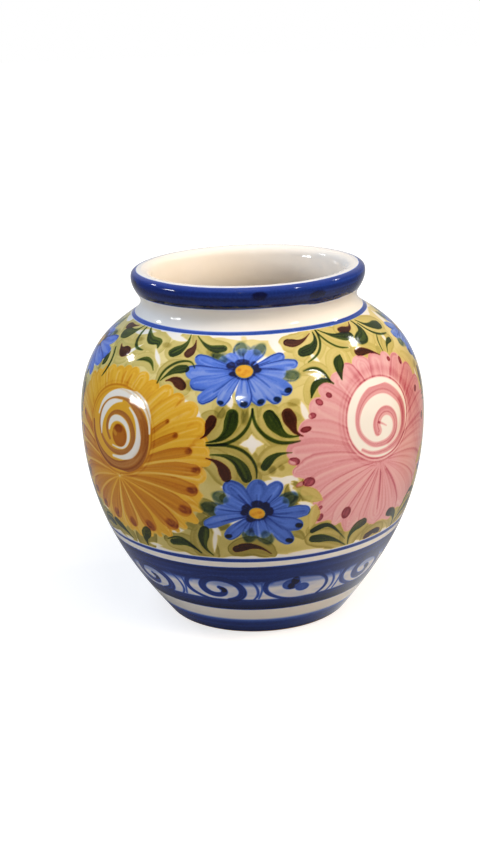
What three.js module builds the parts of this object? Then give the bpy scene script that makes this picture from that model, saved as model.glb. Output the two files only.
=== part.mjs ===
// A hand-painted earthenware vase: a full round belly on a turned foot, drawn in to a short neck
// under a rolled lip. The clay is thrown in one piece. Three coats of white tin glaze lie on it:
// one outside, which carries the painting, one poured inside and one in the hollow of the foot.
// The two large coats meet on the crest of the lip. The ring that the vase stands on stays bare.
// Everything is turned about +Z, in millimetres, with the table at z = 0.

import * as THREE from "three";
import { mergeGeometries, mergeVertices } from "three/addons/utils/BufferGeometryUtils.js";

// Driving sizes of the fired clay

const bellyRadius = 99.5; // where the body is widest
const bellyHeight = 118; // of that widest place above the table
const footRadius = 54.2; // just above the rounded toe of the foot
const footFlare = 37; // degrees from upright at which the wall leaves the foot
const footFullness = 0.37; // how long the wall keeps that flare, as a share of its rise
const lowerFullness = 0.43; // how long it stays upright below the belly
const shoulderRise = 68; // from the belly up to the waist of the neck
const shoulderFullness = 0.82; // how long the wall stays upright above the belly
const neckSharpness = 0.17; // how soon it turns upright again at the neck
const neckRadius = 61.5; // at the waist of the neck
const lipRise = 15; // from that waist up to the widest place of the lip
const lipOverhang = 4.8; // how far the lip stands out over the neck
const lipFlareLow = 0.43; // share of the rise that the neck stays upright under the lip
const lipFlareHigh = 0.57; // share of the rise that the lip's face stays upright
const crestRise = 3; // from the lip's widest place up to its crest
const crestInset = 5.5; // from the lip's widest place in to its crest
const lipSquareness = 0.65; // 0.55 gives an elliptic round, more gives a squarer lip
const mouthDrop = 5; // from the crest down to where the mouth turns upright
const mouthRoundness = 0.55;

const wall = 6; // clay from the neck down to the belly
const floorThickness = 7; // clay between the hollow of the foot and the inside
const floorInset = 16; // from the foot's radius in to the edge of the level floor
const heelRoundness = 0.4; // of the thick inside corner between the wall and that floor

const toeRound = 1.5; // of the foot's lower edge, and where the outside glaze starts
const restWidth = 6.5; // of the bare ring that the vase stands on
const footHollow = 4; // depth of the hollow turned under the foot
const coveReach = 6; // of the round between that hollow and the ring
const coveRoundness = 0.6;

const glaze = 0.5; // thickness of each coat

// Facets round the vase, and rows along each stretch of the outline

const facetsRound = 48;
const rowsToe = 2;
const rowsCove = 4;
const rowsLower = 8;
const rowsShoulder = 7;
const rowsLipFlare = 4;
const rowsLipRound = 4;
const rowsMouth = 3;
const rowsBelowHeel = 2; // of the lower wall's rows, where the inside turns in to the floor
const rowsHeel = 4;

// Outline of the clay, as radius and height, from the middle of the underside out over the foot,
// up the outside, over the lip, down the inside and along the floor back to the axis. A station
// is a point of it with the direction that faces out of the clay there.

function facingOut(tangent) {
  return new THREE.Vector2(tangent.y, -tangent.x);
}

function stationsAlong(curve, rows) {
  const stations = [];
  for (let row = 0; row <= rows; row += 1) {
    const share = row / rows;
    stations.push({ point: curve.getPoint(share), facing: facingOut(curve.getTangent(share)) });
  }
  return stations;
}

// The same stretch one wall further in, which runs the other way and faces the other way
function wallInside(stations) {
  const inside = stations.map(({ point, facing }) => ({
    point: point.clone().addScaledVector(facing, -wall),
    facing: facing.clone().negate(),
  }));
  return inside.reverse();
}

// Stretches end to end, with the station that two of them share kept once
function joined(...stretches) {
  return stretches.flatMap((stations, index) => (index === 0 ? stations : stations.slice(1)));
}

function at(radius, height) {
  return new THREE.Vector2(radius, height);
}

// Foot

const restOuter = footRadius - toeRound;
const restInner = restOuter - restWidth;
const hollowRadius = restInner - coveReach;

const hollow = stationsAlong(new THREE.LineCurve(at(0, footHollow), at(hollowRadius, footHollow)), 1);

const cove = stationsAlong(
  new THREE.CubicBezierCurve(
    at(hollowRadius, footHollow),
    at(hollowRadius + coveReach * coveRoundness, footHollow),
    at(restInner, footHollow * coveRoundness),
    at(restInner, 0),
  ),
  rowsCove,
);

const rest = stationsAlong(new THREE.LineCurve(at(restInner, 0), at(restOuter, 0)), 1);

const toe = stationsAlong(
  new THREE.EllipseCurve(restOuter, toeRound, toeRound, toeRound, -Math.PI / 2, 0),
  rowsToe,
);

// Outside wall

const flare = THREE.MathUtils.degToRad(footFlare);
const lowerRise = bellyHeight - toeRound;
const footPull = lowerRise * footFullness;

const lowerWall = stationsAlong(
  new THREE.CubicBezierCurve(
    at(footRadius, toeRound),
    at(footRadius + footPull * Math.sin(flare), toeRound + footPull * Math.cos(flare)),
    at(bellyRadius, bellyHeight - lowerRise * lowerFullness),
    at(bellyRadius, bellyHeight),
  ),
  rowsLower,
);

const neckHeight = bellyHeight + shoulderRise;

const shoulder = stationsAlong(
  new THREE.CubicBezierCurve(
    at(bellyRadius, bellyHeight),
    at(bellyRadius, bellyHeight + shoulderRise * shoulderFullness),
    at(neckRadius, neckHeight - shoulderRise * neckSharpness),
    at(neckRadius, neckHeight),
  ),
  rowsShoulder,
);

// Rolled lip

const lipRadius = neckRadius + lipOverhang;
const lipHeight = neckHeight + lipRise;
const crestRadius = lipRadius - crestInset;
const crestHeight = lipHeight + crestRise;

const lipFlare = stationsAlong(
  new THREE.CubicBezierCurve(
    at(neckRadius, neckHeight),
    at(neckRadius, neckHeight + lipRise * lipFlareLow),
    at(lipRadius, lipHeight - lipRise * lipFlareHigh),
    at(lipRadius, lipHeight),
  ),
  rowsLipFlare,
);

const lipRound = stationsAlong(
  new THREE.CubicBezierCurve(
    at(lipRadius, lipHeight),
    at(lipRadius, lipHeight + crestRise * lipSquareness),
    at(crestRadius + crestInset * lipSquareness, crestHeight),
    at(crestRadius, crestHeight),
  ),
  rowsLipRound,
);

const throatRadius = neckRadius - wall;
const throatTop = crestHeight - mouthDrop;

const mouth = stationsAlong(
  new THREE.CubicBezierCurve(
    at(crestRadius, crestHeight),
    at(crestRadius - (crestRadius - throatRadius) * mouthRoundness, crestHeight),
    at(throatRadius, throatTop + mouthDrop * mouthRoundness),
    at(throatRadius, throatTop),
  ),
  rowsMouth,
);

// Inside wall and floor

const throat = stationsAlong(
  new THREE.LineCurve(at(throatRadius, throatTop), at(throatRadius, neckHeight)),
  1,
);

const lowerInside = wallInside(lowerWall.slice(rowsBelowHeel));
const heelStart = lowerInside[lowerInside.length - 1];
const downTheWall = new THREE.Vector2(-heelStart.facing.y, heelStart.facing.x);

const floorEdge = at(footRadius - floorInset, footHollow + floorThickness);
const heelPull = heelStart.point.distanceTo(floorEdge) * heelRoundness;

const heel = stationsAlong(
  new THREE.CubicBezierCurve(
    heelStart.point,
    heelStart.point.clone().addScaledVector(downTheWall, heelPull),
    at(floorEdge.x + heelPull, floorEdge.y),
    floorEdge,
  ),
  rowsHeel,
);

const floor = stationsAlong(new THREE.LineCurve(floorEdge, at(0, floorEdge.y)), 1);

// Stretches of the clay's surface: bare or under one of the coats

const underBaseGlaze = joined(hollow, cove.slice(0, -1));
const bareFoot = joined(cove.slice(-2), rest, toe);
const underOutsideGlaze = joined(lowerWall, shoulder, lipFlare, lipRound);
const crest = lipRound.slice(-1);
const inside = joined(mouth, throat, wallInside(shoulder), lowerInside, heel, floor);
const underInsideGlaze = joined(crest, inside);

// Skins turned about the axis, and solids closed from them

function skin(points) {
  const turned = new THREE.LatheGeometry(points, facetsRound);
  turned.deleteAttribute("normal");
  turned.deleteAttribute("uv");
  return turned;
}

// The same facets seen from the other side, so that a coat lies on the clay facet for facet
function facedBack(geometry) {
  const index = geometry.index;
  for (let corner = 0; corner < index.count; corner += 3) {
    const second = index.getX(corner + 1);
    index.setX(corner + 1, index.getX(corner + 2));
    index.setX(corner + 2, second);
  }
  return geometry;
}

function solidFrom(...skins) {
  const solid = mergeVertices(mergeGeometries(skins));
  solid.rotateX(Math.PI / 2);
  solid.computeVertexNormals();
  return solid;
}

function claySurface(stations) {
  return stations.map(({ point }) => point);
}

function glazeSurface(stations) {
  return stations.map(({ point, facing }) => {
    const onGlaze = point.clone().addScaledVector(facing, glaze);
    return point.x === 0 ? at(0, onGlaze.y) : onGlaze;
  });
}

// A coat on one stretch of the clay. Its two rims are closed unless they lie on the axis.
function coatOn(stations) {
  const below = claySurface(stations);
  const above = glazeSurface(stations);
  const last = stations.length - 1;
  const skins = [facedBack(skin(below)), skin(above)];
  if (below[0].x > 0) skins.push(skin([below[0], above[0]]));
  if (below[last].x > 0) skins.push(skin([above[last], below[last]]));
  return solidFrom(...skins);
}

function clayBody() {
  const outline = joined(underBaseGlaze, bareFoot, underOutsideGlaze, underInsideGlaze);
  return solidFrom(skin(claySurface(outline)));
}

// Finishes

const biscuit = new THREE.MeshStandardMaterial({ color: 0xd8b08c, roughness: 0.85, metalness: 0 });
const paintedGlaze = new THREE.MeshStandardMaterial({ color: 0xe9e2d6, roughness: 0.12, metalness: 0 });
const whiteGlaze = new THREE.MeshStandardMaterial({ color: 0xeee7da, roughness: 0.14, metalness: 0 });

function named(name, geometry, material) {
  const mesh = new THREE.Mesh(geometry, material);
  mesh.name = name;
  return mesh;
}

const vase = new THREE.Group();
vase.name = "hand_painted_vase";
vase.add(named("clay_body", clayBody(), biscuit));
vase.add(named("outside_glaze", coatOn(underOutsideGlaze), paintedGlaze));
vase.add(named("inside_glaze", coatOn(underInsideGlaze), whiteGlaze));
vase.add(named("base_glaze", coatOn(underBaseGlaze), whiteGlaze));

export default vase;
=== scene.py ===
# %% [markdown]
# # A hand-painted earthenware vase
# The potter throws the pot on a wheel and fires it once to soft, porous biscuit.
# It is dipped in white tin glaze, painted with metal oxides on the raw glaze, and
# fired again, so that the colours sink in and the whole coat turns glossy.
# This lesson follows the same order: the shells of clay and glaze first, then the
# brushwork, and the colours of the oxides last.

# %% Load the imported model
import math

import bpy
import numpy as np
from mathutils import Matrix, Vector


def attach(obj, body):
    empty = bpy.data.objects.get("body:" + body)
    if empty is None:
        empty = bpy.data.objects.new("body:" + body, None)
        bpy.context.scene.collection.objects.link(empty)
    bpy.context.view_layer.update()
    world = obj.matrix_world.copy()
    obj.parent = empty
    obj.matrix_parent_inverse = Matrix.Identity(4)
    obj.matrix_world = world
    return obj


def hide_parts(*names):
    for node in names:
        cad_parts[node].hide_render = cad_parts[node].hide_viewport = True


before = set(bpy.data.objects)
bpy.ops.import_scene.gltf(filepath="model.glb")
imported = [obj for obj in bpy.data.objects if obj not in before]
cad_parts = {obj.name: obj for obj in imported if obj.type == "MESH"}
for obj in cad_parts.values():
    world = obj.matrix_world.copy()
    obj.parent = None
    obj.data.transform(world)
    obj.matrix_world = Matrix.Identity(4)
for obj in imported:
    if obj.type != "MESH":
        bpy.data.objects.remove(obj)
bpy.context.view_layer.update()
MM = 0.001
print("CAD nodes:", ", ".join(sorted(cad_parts)))

# %% [markdown]
# ## The outlines that the potter turned
# A turned pot is the same all the way round, so its whole shape is one outline of
# radius against height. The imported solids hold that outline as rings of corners.
# Reading the rings from the model means that no size has to be typed again.

# %% Read each node's rings
SAME_RING = 0.05  # mm; corners closer than this belong to one ring
ON_CLAY = 0.1  # mm; a coat's ring this near to a ring of the clay lies on the clay
AXIS = 0.1  # mm; a corner nearer to the axis than this lies on it


def rings_of(name):
    """Every ring of a node as rows of radius and height in mm."""
    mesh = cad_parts[name].data
    corners = np.empty(len(mesh.vertices) * 3)
    mesh.vertices.foreach_get("co", corners)
    x, y, z = corners.reshape(-1, 3).T / MM
    found = []
    for ring in np.unique(np.round(np.stack([np.hypot(x, y), z], 1), 2), axis=0):
        if all(math.dist(ring, other) > SAME_RING for other in found):
            found.append(ring)
    return np.array(found)


def touching(rings, others):
    """Which rings lie on one of the others."""
    return np.array([np.hypot(*(others - ring).T).min() < ON_CLAY for ring in rings])


def upwards(rings):
    return rings[np.lexsort((rings[:, 0], rings[:, 1]))]


def downwards(rings):
    return rings[np.lexsort((-rings[:, 0], -rings[:, 1]))]


def outwards(rings):
    return rings[np.argsort(rings[:, 0])]


def off_axis(rings):
    """The rings without those that lie on the axis."""
    return rings[rings[:, 0] > AXIS]


clay = rings_of("clay_body")
coats = {name: rings_of(name) for name in ("outside_glaze", "inside_glaze", "base_glaze")}
shows = {name: rings[~touching(rings, clay)] for name, rings in coats.items()}
hides = {name: rings[touching(rings, clay)] for name, rings in coats.items()}
print("clay:", len(clay), "rings;", {name: len(rings) for name, rings in shows.items()})

# %% [markdown]
# ## From rings to a smooth curve
# A potter's rib leaves one flowing line. A natural cubic spline is that line: it
# passes through every ring and bends as little as it can. Its places are then
# spaced evenly, because an even net of faces takes paint best.


# %% A natural spline through the rings
FINE_PLACES = 8000  # on the spline, before they are spaced evenly


def smooth_curve(points, spacing):
    """Places about `spacing` mm apart on a smooth curve through the points."""
    run = np.r_[0, np.cumsum(np.hypot(*np.diff(points, axis=0).T))]
    gap = np.diff(run)
    slope = np.diff(points, axis=0) / gap[:, None]
    system = np.eye(len(points))
    right = np.zeros_like(points)
    for i in range(1, len(points) - 1):
        system[i, i - 1 : i + 2] = gap[i - 1], 2 * (gap[i - 1] + gap[i]), gap[i]
        right[i] = 6 * (slope[i] - slope[i - 1])
    bend = np.linalg.solve(system, right)
    fine = np.linspace(0, run[-1], FINE_PLACES)
    k = np.clip(np.searchsorted(run, fine) - 1, 0, len(gap) - 1)
    since, until, wide = (a[:, None] for a in (fine - run[k], run[k + 1] - fine, gap[k]))
    curve = (
        (bend[k] * until**3 + bend[k + 1] * since**3) / (6 * wide)
        + (points[k] / wide - bend[k] * wide / 6) * until
        + (points[k + 1] / wide - bend[k + 1] * wide / 6) * since
    )
    along = np.r_[0, np.cumsum(np.hypot(*np.diff(curve, axis=0).T))]
    even = np.linspace(0, along[-1], round(along[-1] / spacing) + 1)
    return np.stack([np.interp(even, along, curve[:, a]) for a in (0, 1)], 1)


NET = 0.44  # mm between the rows of the painted net
outside = smooth_curve(upwards(shows["outside_glaze"]), NET)
outside = np.minimum(outside, shows["outside_glaze"].max(axis=0))
crest = outside[-1]
arc = np.r_[0, np.cumsum(np.hypot(*np.diff(outside, axis=0).T))]
radius = outside[:, 0]
ROWS, COLUMNS = len(arc), 1440
print("outside outline:", ROWS, "rows,", round(arc[-1], 1), "mm from the foot to", crest)

# %% [markdown]
# ## One function that turns a closed shell
# Each layer has a face and a back, and together they go once round its section.
# Turning that section about the upright axis gives a closed skin without loose
# faces. A place with radius 0 becomes a single corner, as at the middle of the
# floor. The map for textures is wrapped into two strips, one above the other, so
# that a long belt fills a square.

# %% Turn a section into a closed mesh
QUARTER = math.pi / 2  # the first column stands a quarter turn left of the front
BACK_SHARE = 0.05  # of the map's height for each mm of the hidden side
MAP_EDGE = 0.004  # of the map, left free at the edges of each strip
SHARP = math.radians(45)  # an edge that turns more than this stays crisp


def turned(name, section, shown, columns):
    """A closed shell from an anticlockwise section in mm, whose first places show."""
    turn = np.arange(columns) / columns * 2 * math.pi - QUARTER
    pole = section[:, 0] < AXIS
    first = np.r_[0, np.cumsum(np.where(pole, 1, columns))]
    corners = np.vstack(
        [
            np.stack([r * np.sin(a), -r * np.cos(a), z + 0 * a], 1)
            for (r, z), a in zip(section, [turn[:1] if p else turn for p in pole])
        ]
    )
    weight = np.where(np.arange(len(section)) < shown - 1, 1, BACK_SHARE)
    run = np.hypot(*(np.roll(section, -1, axis=0) - section).T) * weight
    v = np.r_[0, np.cumsum(run)] / run.sum()
    i = np.arange(columns)
    strip, across = i // (columns // 2), (i % (columns // 2)) / (columns // 2)
    loops, sizes, places = [], [], []
    for k in range(len(section)):
        m = (k + 1) % len(section)
        if pole[k] and pole[m]:
            continue
        square = [(k, 0, 0), (k, 1, 0), (m, 1, 1), (m, 0, 1)]
        if pole[k]:
            square.pop(0)
        if pole[m]:
            square.pop(3)
        loops.append([first[p] + (0 if pole[p] else (i + du) % columns) + 0 * i for p, du, _ in square])
        sizes.append(np.full(columns, len(square)))
        places.append([(across + du * 2 / columns, strip, v[k + dv] + 0 * i) for _, du, dv in square])
    mesh = bpy.data.meshes.new(name)
    mesh.vertices.add(len(corners))
    mesh.vertices.foreach_set("co", (corners * MM).ravel())
    joined = np.concatenate([np.stack(loop, 1).ravel() for loop in loops])
    mesh.loops.add(len(joined))
    mesh.loops.foreach_set("vertex_index", joined.astype(np.int32))
    sizes = np.concatenate(sizes)
    mesh.polygons.add(len(sizes))
    mesh.polygons.foreach_set("loop_start", (np.cumsum(sizes) - sizes).astype(np.int32))
    u, strip, v = np.concatenate([np.array(p).transpose(2, 0, 1).reshape(-1, 3) for p in places]).T
    inside_edge = 1 - 2 * MAP_EDGE
    uv = np.stack([MAP_EDGE + u * inside_edge, (strip + MAP_EDGE + v * inside_edge) / 2], 1)
    mesh.uv_layers.new(name="OFBake").data.foreach_set("uv", uv.ravel())
    mesh.update(calc_edges=True)
    mesh.validate()
    mesh.shade_smooth()
    mesh.set_sharp_from_angle(angle=SHARP)
    shell = bpy.data.objects.new(name, mesh)
    bpy.context.scene.collection.objects.link(shell)
    print(name, len(mesh.polygons), "faces")
    return shell


# %% [markdown]
# ## The fired clay
# Terracotta shows only where the glaze was wiped off, on the ring that the pot
# rests on; a glazed foot would stick to the kiln shelf. The rest of the body is
# hidden by glaze, but it is there, so that the pot is whole when seen in section.

# %% Turn the clay body
CLAY_COLUMNS = 240  # round the pot; most of the clay is hidden, so few will do
on = {name: touching(clay, rings) for name, rings in hides.items()}
under = outwards(clay[on["base_glaze"]])
bare = outwards(clay[~(on["outside_glaze"] | on["inside_glaze"] | on["base_glaze"])])
outer = upwards(clay[on["outside_glaze"]])
inner = upwards(clay[on["inside_glaze"] & ~on["outside_glaze"]])
floor_middle, base_middle = (0, inner[0, 1]), (0, under[0, 1])
inner = off_axis(downwards(inner))
clay_section = np.vstack([[base_middle], off_axis(under), bare, outer, inner, [floor_middle]])
fired_clay = turned("fired_clay", clay_section, len(clay_section), CLAY_COLUMNS)
print("bare ring from", bare[0, 0], "to", bare[-1, 0], "mm")

# %% [markdown]
# ## The white coats
# The same tin glaze covers the inside, where it keeps the water in, and the
# hollow of the foot. Both are plain white, so a coarser net will do. The floor is
# flat, and a few extra places on it keep the spline from swinging there.


# %% Turn the glaze inside and under the foot
INSIDE_STEP, INSIDE_COLUMNS = 1.5, 480  # mm between the rows, and columns round the pot
BASE_STEP, BASE_COLUMNS = 1.0, 240


def flat_disc(edge, ring_count=6):
    """Places on a flat disc, from its edge in to the axis."""
    return np.stack([np.linspace(edge[0], 0, ring_count), np.full(ring_count, edge[1])], 1)[1:]


inside_shown = off_axis(downwards(shows["inside_glaze"]))
inside_curve = smooth_curve(np.vstack([inside_shown, flat_disc(inside_shown[-1])]), INSIDE_STEP)
inside_curve[-1, 0] = 0
inside_hidden = off_axis(upwards(hides["inside_glaze"]))
inside_hidden = np.vstack([[(0, inside_hidden[0, 1])], inside_hidden])
inside_white = turned(
    "inside_white_glaze", np.vstack([inside_curve, inside_hidden]), len(inside_curve), INSIDE_COLUMNS
)

base_shown = off_axis(outwards(shows["base_glaze"]))
base_curve = smooth_curve(np.vstack([flat_disc(base_shown[0])[::-1], base_shown]), BASE_STEP)
base_curve[0, 0] = 0
base_hidden = off_axis(outwards(hides["base_glaze"]))[::-1]
base_hidden = np.vstack([base_hidden, [(0, base_hidden[-1, 1])]])
base_white = turned(
    "base_white_glaze", np.vstack([base_curve, base_hidden]), len(base_curve), BASE_COLUMNS
)

# %% [markdown]
# ## A canvas that is wrapped round the pot
# The painter works on the curved pot, so the canvas is the net of the outside
# coat itself: one row for each step up the outline and one column for each step
# round. Every corner of the net keeps how thick each oxide lies there, from 0 for
# none to 1 for the thickest pool. Places are given in mm on the glaze, x round
# the pot from a chosen angle and s up along the outline from the foot.

# %% Lay out the canvas
OXIDES = ("cobalt", "wash", "leaf", "manganese", "yellow", "ochre", "pink")
turn = np.arange(COLUMNS) / COLUMNS * 2 * math.pi - QUARTER
paint = {name: np.zeros((ROWS, COLUMNS), np.float32) for name in OXIDES}
rng = np.random.default_rng(11)


def soft(x):
    """0 below 0, 1 above 1, and an easy slope between."""
    x = np.clip(x, 0, 1)
    return x * x * (3 - 2 * x)


def patch(centre, across, along):
    """The part of the canvas near a place: its index, and x and s there in mm."""
    rows = np.flatnonzero((arc >= along[0]) & (arc <= along[1]))
    if not len(rows):
        return None, 0, 0
    step = 2 * math.pi / COLUMNS
    start = centre + QUARTER
    angles = np.array(across)[:, None] / (radius[rows].min(), radius[rows].max())
    cols = np.arange(math.floor((start + angles.min()) / step),
                     math.ceil((start + angles.max()) / step) + 1)
    x = (cols * step - start)[None, :] * radius[rows][:, None]
    return np.ix_(rows, cols % COLUMNS), x, arc[rows][:, None] + 0 * x


def cloud(across, along):
    """Soft blotches from -1 to 1 over the whole canvas, of a size in mm."""
    nx = max(3, round(2 * math.pi * radius.mean() / across))
    ny = max(2, round(arc[-1] / along))
    grid = rng.uniform(-1, 1, (ny + 2, nx))
    fx, fy = np.arange(COLUMNS) / COLUMNS * nx, arc / arc[-1] * ny
    ix, iy = fx.astype(int), fy.astype(int)
    tx, ty = soft(fx - ix)[None, :], soft(fy - iy)[:, None]
    low, high = grid[iy], grid[iy + 1]
    low = low[:, ix] * (1 - tx) + low[:, (ix + 1) % nx] * tx
    high = high[:, ix] * (1 - tx) + high[:, (ix + 1) % nx] * tx
    return low * (1 - ty) + high * ty


print("canvas:", ROWS, "x", COLUMNS, "places,", len(OXIDES), "oxides")

# %% [markdown]
# ## Paths for the brush
# Each mark is a path with a width that changes along it. A full round brush gives
# a comma: it is set down thin, pressed as it is drawn, and lifted round. A table of
# a few shares tells one kind of mark from another.

# %% Shapes and paths of a mark
SHAPES = {  # shares of the length, and the share of the full width there
    "comma": ((0, 0.25, 0.55, 0.82, 1), (0.08, 0.22, 0.62, 1.05, 0.85)),
    "petal": ((0, 0.3, 0.6, 0.85, 1), (0.22, 0.6, 0.86, 1.04, 0.8)),
    "fan": ((0, 0.3, 0.6, 0.85, 1), (0.08, 0.38, 0.72, 1, 0.8)),
    "pointed": ((0, 0.3, 0.6, 0.86, 1), (0.08, 0.4, 0.76, 1, 0.3)),
    "liner": ((0, 0.2, 0.6, 0.85, 1), (0.5, 0.85, 1, 0.8, 0.25)),
    "lobe": ((0, 0.25, 0.6, 0.85, 1), (0.45, 0.9, 1.02, 0.95, 0.7)),
    "dab": ((0, 0.5, 1), (0.5, 1, 0.5)),
    "sliver": ((0, 0.25, 0.5, 0.75, 1), (0.1, 0.75, 1, 0.75, 0.1)),
    "even": ((0, 1), (1, 1)),
    "hook": ((0, 0.35, 0.6, 0.8, 1), (0.12, 0.7, 1.05, 0.75, 0.12)),
}
BOW_PLACES = 17  # from the root of a bowed path to its tip
WIDTH_PLACES = 81  # along a stroke, for which its width is worked out
KINK = 13  # of these places, over which a kink in the width is rounded off


def line(*points):
    """A smooth path in mm through a few places."""
    return smooth_curve(np.array(points, float), 1.0)


def bow(root, towards, length, bend=0.0):
    """A bowed path in mm: bend is how far it bows to the left, as a share of its length."""
    way = np.array([math.cos(math.radians(towards)), math.sin(math.radians(towards))])
    left = np.array([-way[1], way[0]])
    t = np.linspace(0, 1, BOW_PLACES)[:, None]
    return np.array(root) + way * length * t + left * (4 * bend * length) * t * (1 - t)


def width_along(shape, along):
    """The share of the full width at each share of the length, without kinks."""
    t = np.linspace(0, 1, WIDTH_PLACES)
    rounded = np.pad(np.interp(t, *shape), KINK // 2, mode="edge")
    return np.interp(along, t, np.convolve(rounded, np.full(KINK, 1 / KINK), "valid"))


print("brush shapes:", ", ".join(SHAPES))

# %% [markdown]
# ## One stroke
# A loaded brush doesn't lay an even coat. Its bristles leave streaks along the
# stroke, and the wet colour pools at its rim, on the side that carried more of it,
# and where the brush is lifted. So a stroke is painted as a depth of colour that
# changes along and across it.

# %% One stroke of the brush
RIM = 0.5  # mm over which the edge of a stroke fades out
MARGIN = 1.5  # mm of canvas that is looked at beyond a stroke
HAIR = 0.15  # mm, half of the thinnest line that a brush draws
DARK_SIDE, DARK_WIDE = 0.88, 0.11  # the darker side: its place and width, as shares of half a stroke
DEEPEST = 1.2  # of one stroke; the whole layer is cut to 1 at the end


def prints(path, halves, x, s):
    """A stroke is a row of round prints of the brush. For each place: how deep it lies
    in the nearest print in mm, how far along the stroke from 0 to 1, and how far
    across it, from -1 on its right edge to 1 on its left."""
    steps = np.diff(path, axis=0)
    lengths = np.hypot(*steps.T)
    done = np.r_[0, np.cumsum(lengths)] / lengths.sum()
    deep = np.full(x.shape, -np.inf)
    along, across = np.zeros(x.shape), np.zeros(x.shape)
    for k, ((x0, s0), (dx, ds), length) in enumerate(zip(path, steps, lengths)):
        t = np.clip(((x - x0) * dx + (s - s0) * ds) / length**2, 0, 1)
        off_x, off_s = x - x0 - t * dx, s - s0 - t * ds
        gap = np.hypot(off_x, off_s)
        half = halves[k] + t * (halves[k + 1] - halves[k])
        nearer = half - gap > deep
        deep = np.where(nearer, half - gap, deep)
        along = np.where(nearer, done[k] + t * (done[k + 1] - done[k]), along)
        across = np.where(nearer, np.sign(dx * off_s - ds * off_x) * gap / half, across)
    return deep, along, np.clip(across, -1, 1)


def stroke(oxide, centre, path, width, shape, tone, *, streaks=0.2, rim=0.1, side=0.0, tip=0.0,
           root=0.0, covers=0.0, fade=RIM):
    """Paints one mark, tone deep.

    streaks, rim, side, tip and root make it uneven; covers is how much of the same
    oxide below it is taken up, and fade is how soft its edge is in mm."""
    reach = width / 2 + MARGIN
    low, high = path.min(axis=0) - reach, path.max(axis=0) + reach
    at, x, s = patch(centre, (low[0], high[0]), (low[1], high[1]))
    bristles = rng.uniform(-1, 1, (3, max(9, round(width))))
    if at is None:
        return
    run = np.r_[0, np.cumsum(np.hypot(*np.diff(path, axis=0).T))]
    share = width_along(SHAPES[shape] if isinstance(shape, str) else shape, run / run[-1])
    deep, along, v = prints(path, np.maximum(share * width / 2, HAIR), x, s)
    cover = soft(deep / fade + 0.5)
    tracks = [np.interp(v, np.linspace(-1, 1, len(row)), row) for row in bristles]
    streak = tracks[0] * (1 - along) + tracks[1] * along + 0.5 * tracks[2]
    depth = tone * (1 + streaks * streak) + rim * np.abs(v) ** 5 + tip * soft((along - 0.7) / 0.3)
    depth += root * soft(1 - along / 0.35)
    if side:
        off_line = (v - math.copysign(DARK_SIDE, side)) / DARK_WIDE
        depth += abs(side) * np.exp(-(off_line**2)) * soft(4 * along)
    layer = paint[oxide]
    layer[at] = layer[at] * (1 - cover * covers) + cover * np.clip(depth, 0, DEEPEST)


print("a stroke fades out over", RIM, "mm")

# %% [markdown]
# ## Damp brush and brush tip
# A damp brush takes colour off again, which keeps a bright flower clean of the
# ground below it. The tip of the brush, set down without a pull, leaves a dot.


# %% Lift, wipe and dot
def lift(oxides, centre, path, width, shape="lobe", amount=1.0, fade=0.8):
    """Takes colour off along a path, as a damp brush does."""
    for oxide in oxides:
        stroke(oxide, centre, path, width, shape, 0, streaks=0, rim=0, covers=amount, fade=fade)


def wipe(oxides, cover, at):
    """Takes colour off a part of the canvas."""
    for oxide in oxides:
        paint[oxide][at] *= 1 - cover


def dot(oxide, centre, x0, s0, across, along, tone, rim=0.15, covers=0.0, tilt=0.0, fade=RIM):
    """A round touch of the brush tip, `across` by `along` mm."""
    reach = max(across, along) / 2 + 1
    at, x, s = patch(centre, (x0 - reach, x0 + reach), (s0 - reach, s0 + reach))
    if at is None:
        return
    c, w = math.cos(math.radians(tilt)), math.sin(math.radians(tilt))
    dx, ds = (x - x0) * c + (s - s0) * w, (s - s0) * c - (x - x0) * w
    away = np.hypot(dx / (across / 2), ds / (along / 2))
    cover = soft((1 - away) * min(across, along) / 2 / fade + 0.5)
    layer = paint[oxide]
    layer[at] = layer[at] * (1 - cover * covers) + cover * (tone + rim * np.minimum(away, 1) ** 4)


print("lift, wipe and dot are ready")

# %% [markdown]
# ## The leaf sprigs
# Sprigs of comma leaves fill the ground between the flowers. Each mark starts thin
# at a root and ends round: dark green commas for leaves, brown manganese ones for
# buds, and thin stems drawn with the tip of the liner brush. A mark is written as
# its kind, its width and the places that it runs through.

# %% Where the marks of the sprigs run
# angles round the pot, from the front
DAISIES = (0, QUARTER, 2 * QUARTER, 3 * QUARTER)
MIRRORS = (1, -1, 1, -1)  # every second daisy and its surroundings are mirrored
YELLOW_AT = (math.radians(-48), math.radians(132))
PINK_AT = (math.radians(43.5), math.radians(223.5))
FAN = [  # between an upper and a lower daisy
    ("bud", 5.6, (-28, 141.4), (-25.3, 143.3), (-23.2, 147.5), (-21.3, 151.5)),
    ("leaf", 7.4, (-25, 139.3), (-18.5, 141), (-13.3, 145.5), (-10.6, 154)),
    ("stem", 1.8, (-25, 138), (-15, 139), (-6.5, 143.5), (-2, 149.5), (0, 157)),
    ("stem", 2.1, (0, 157), (1.2, 149.5), (6, 143), (14, 138.7), (24.5, 138.6)),
    ("leaf", 7.4, (24, 141.3), (17.5, 142), (12.5, 146.5), (8.6, 153)),
    ("bud", 7.2, (26.2, 141), (22.3, 143.6), (20.3, 148.5), (18.3, 153.3)),
    ("stem", 1.7, (-24.5, 138), (-14, 138), (-6, 135.3), (-1, 130.3), (1, 125), (1, 120)),
    ("leaf", 6.4, (-23, 132.8), (-15, 132.3), (-9, 129), (-4.3, 120.3)),
    ("bud", 6.4, (-25.5, 130.8), (-20.5, 129.3), (-16.8, 125.5), (-15, 120.8)),
    ("leaf", 4.8, (20, 132.7), (13, 132.4), (8.3, 129.8), (5.4, 126)),
]
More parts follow.
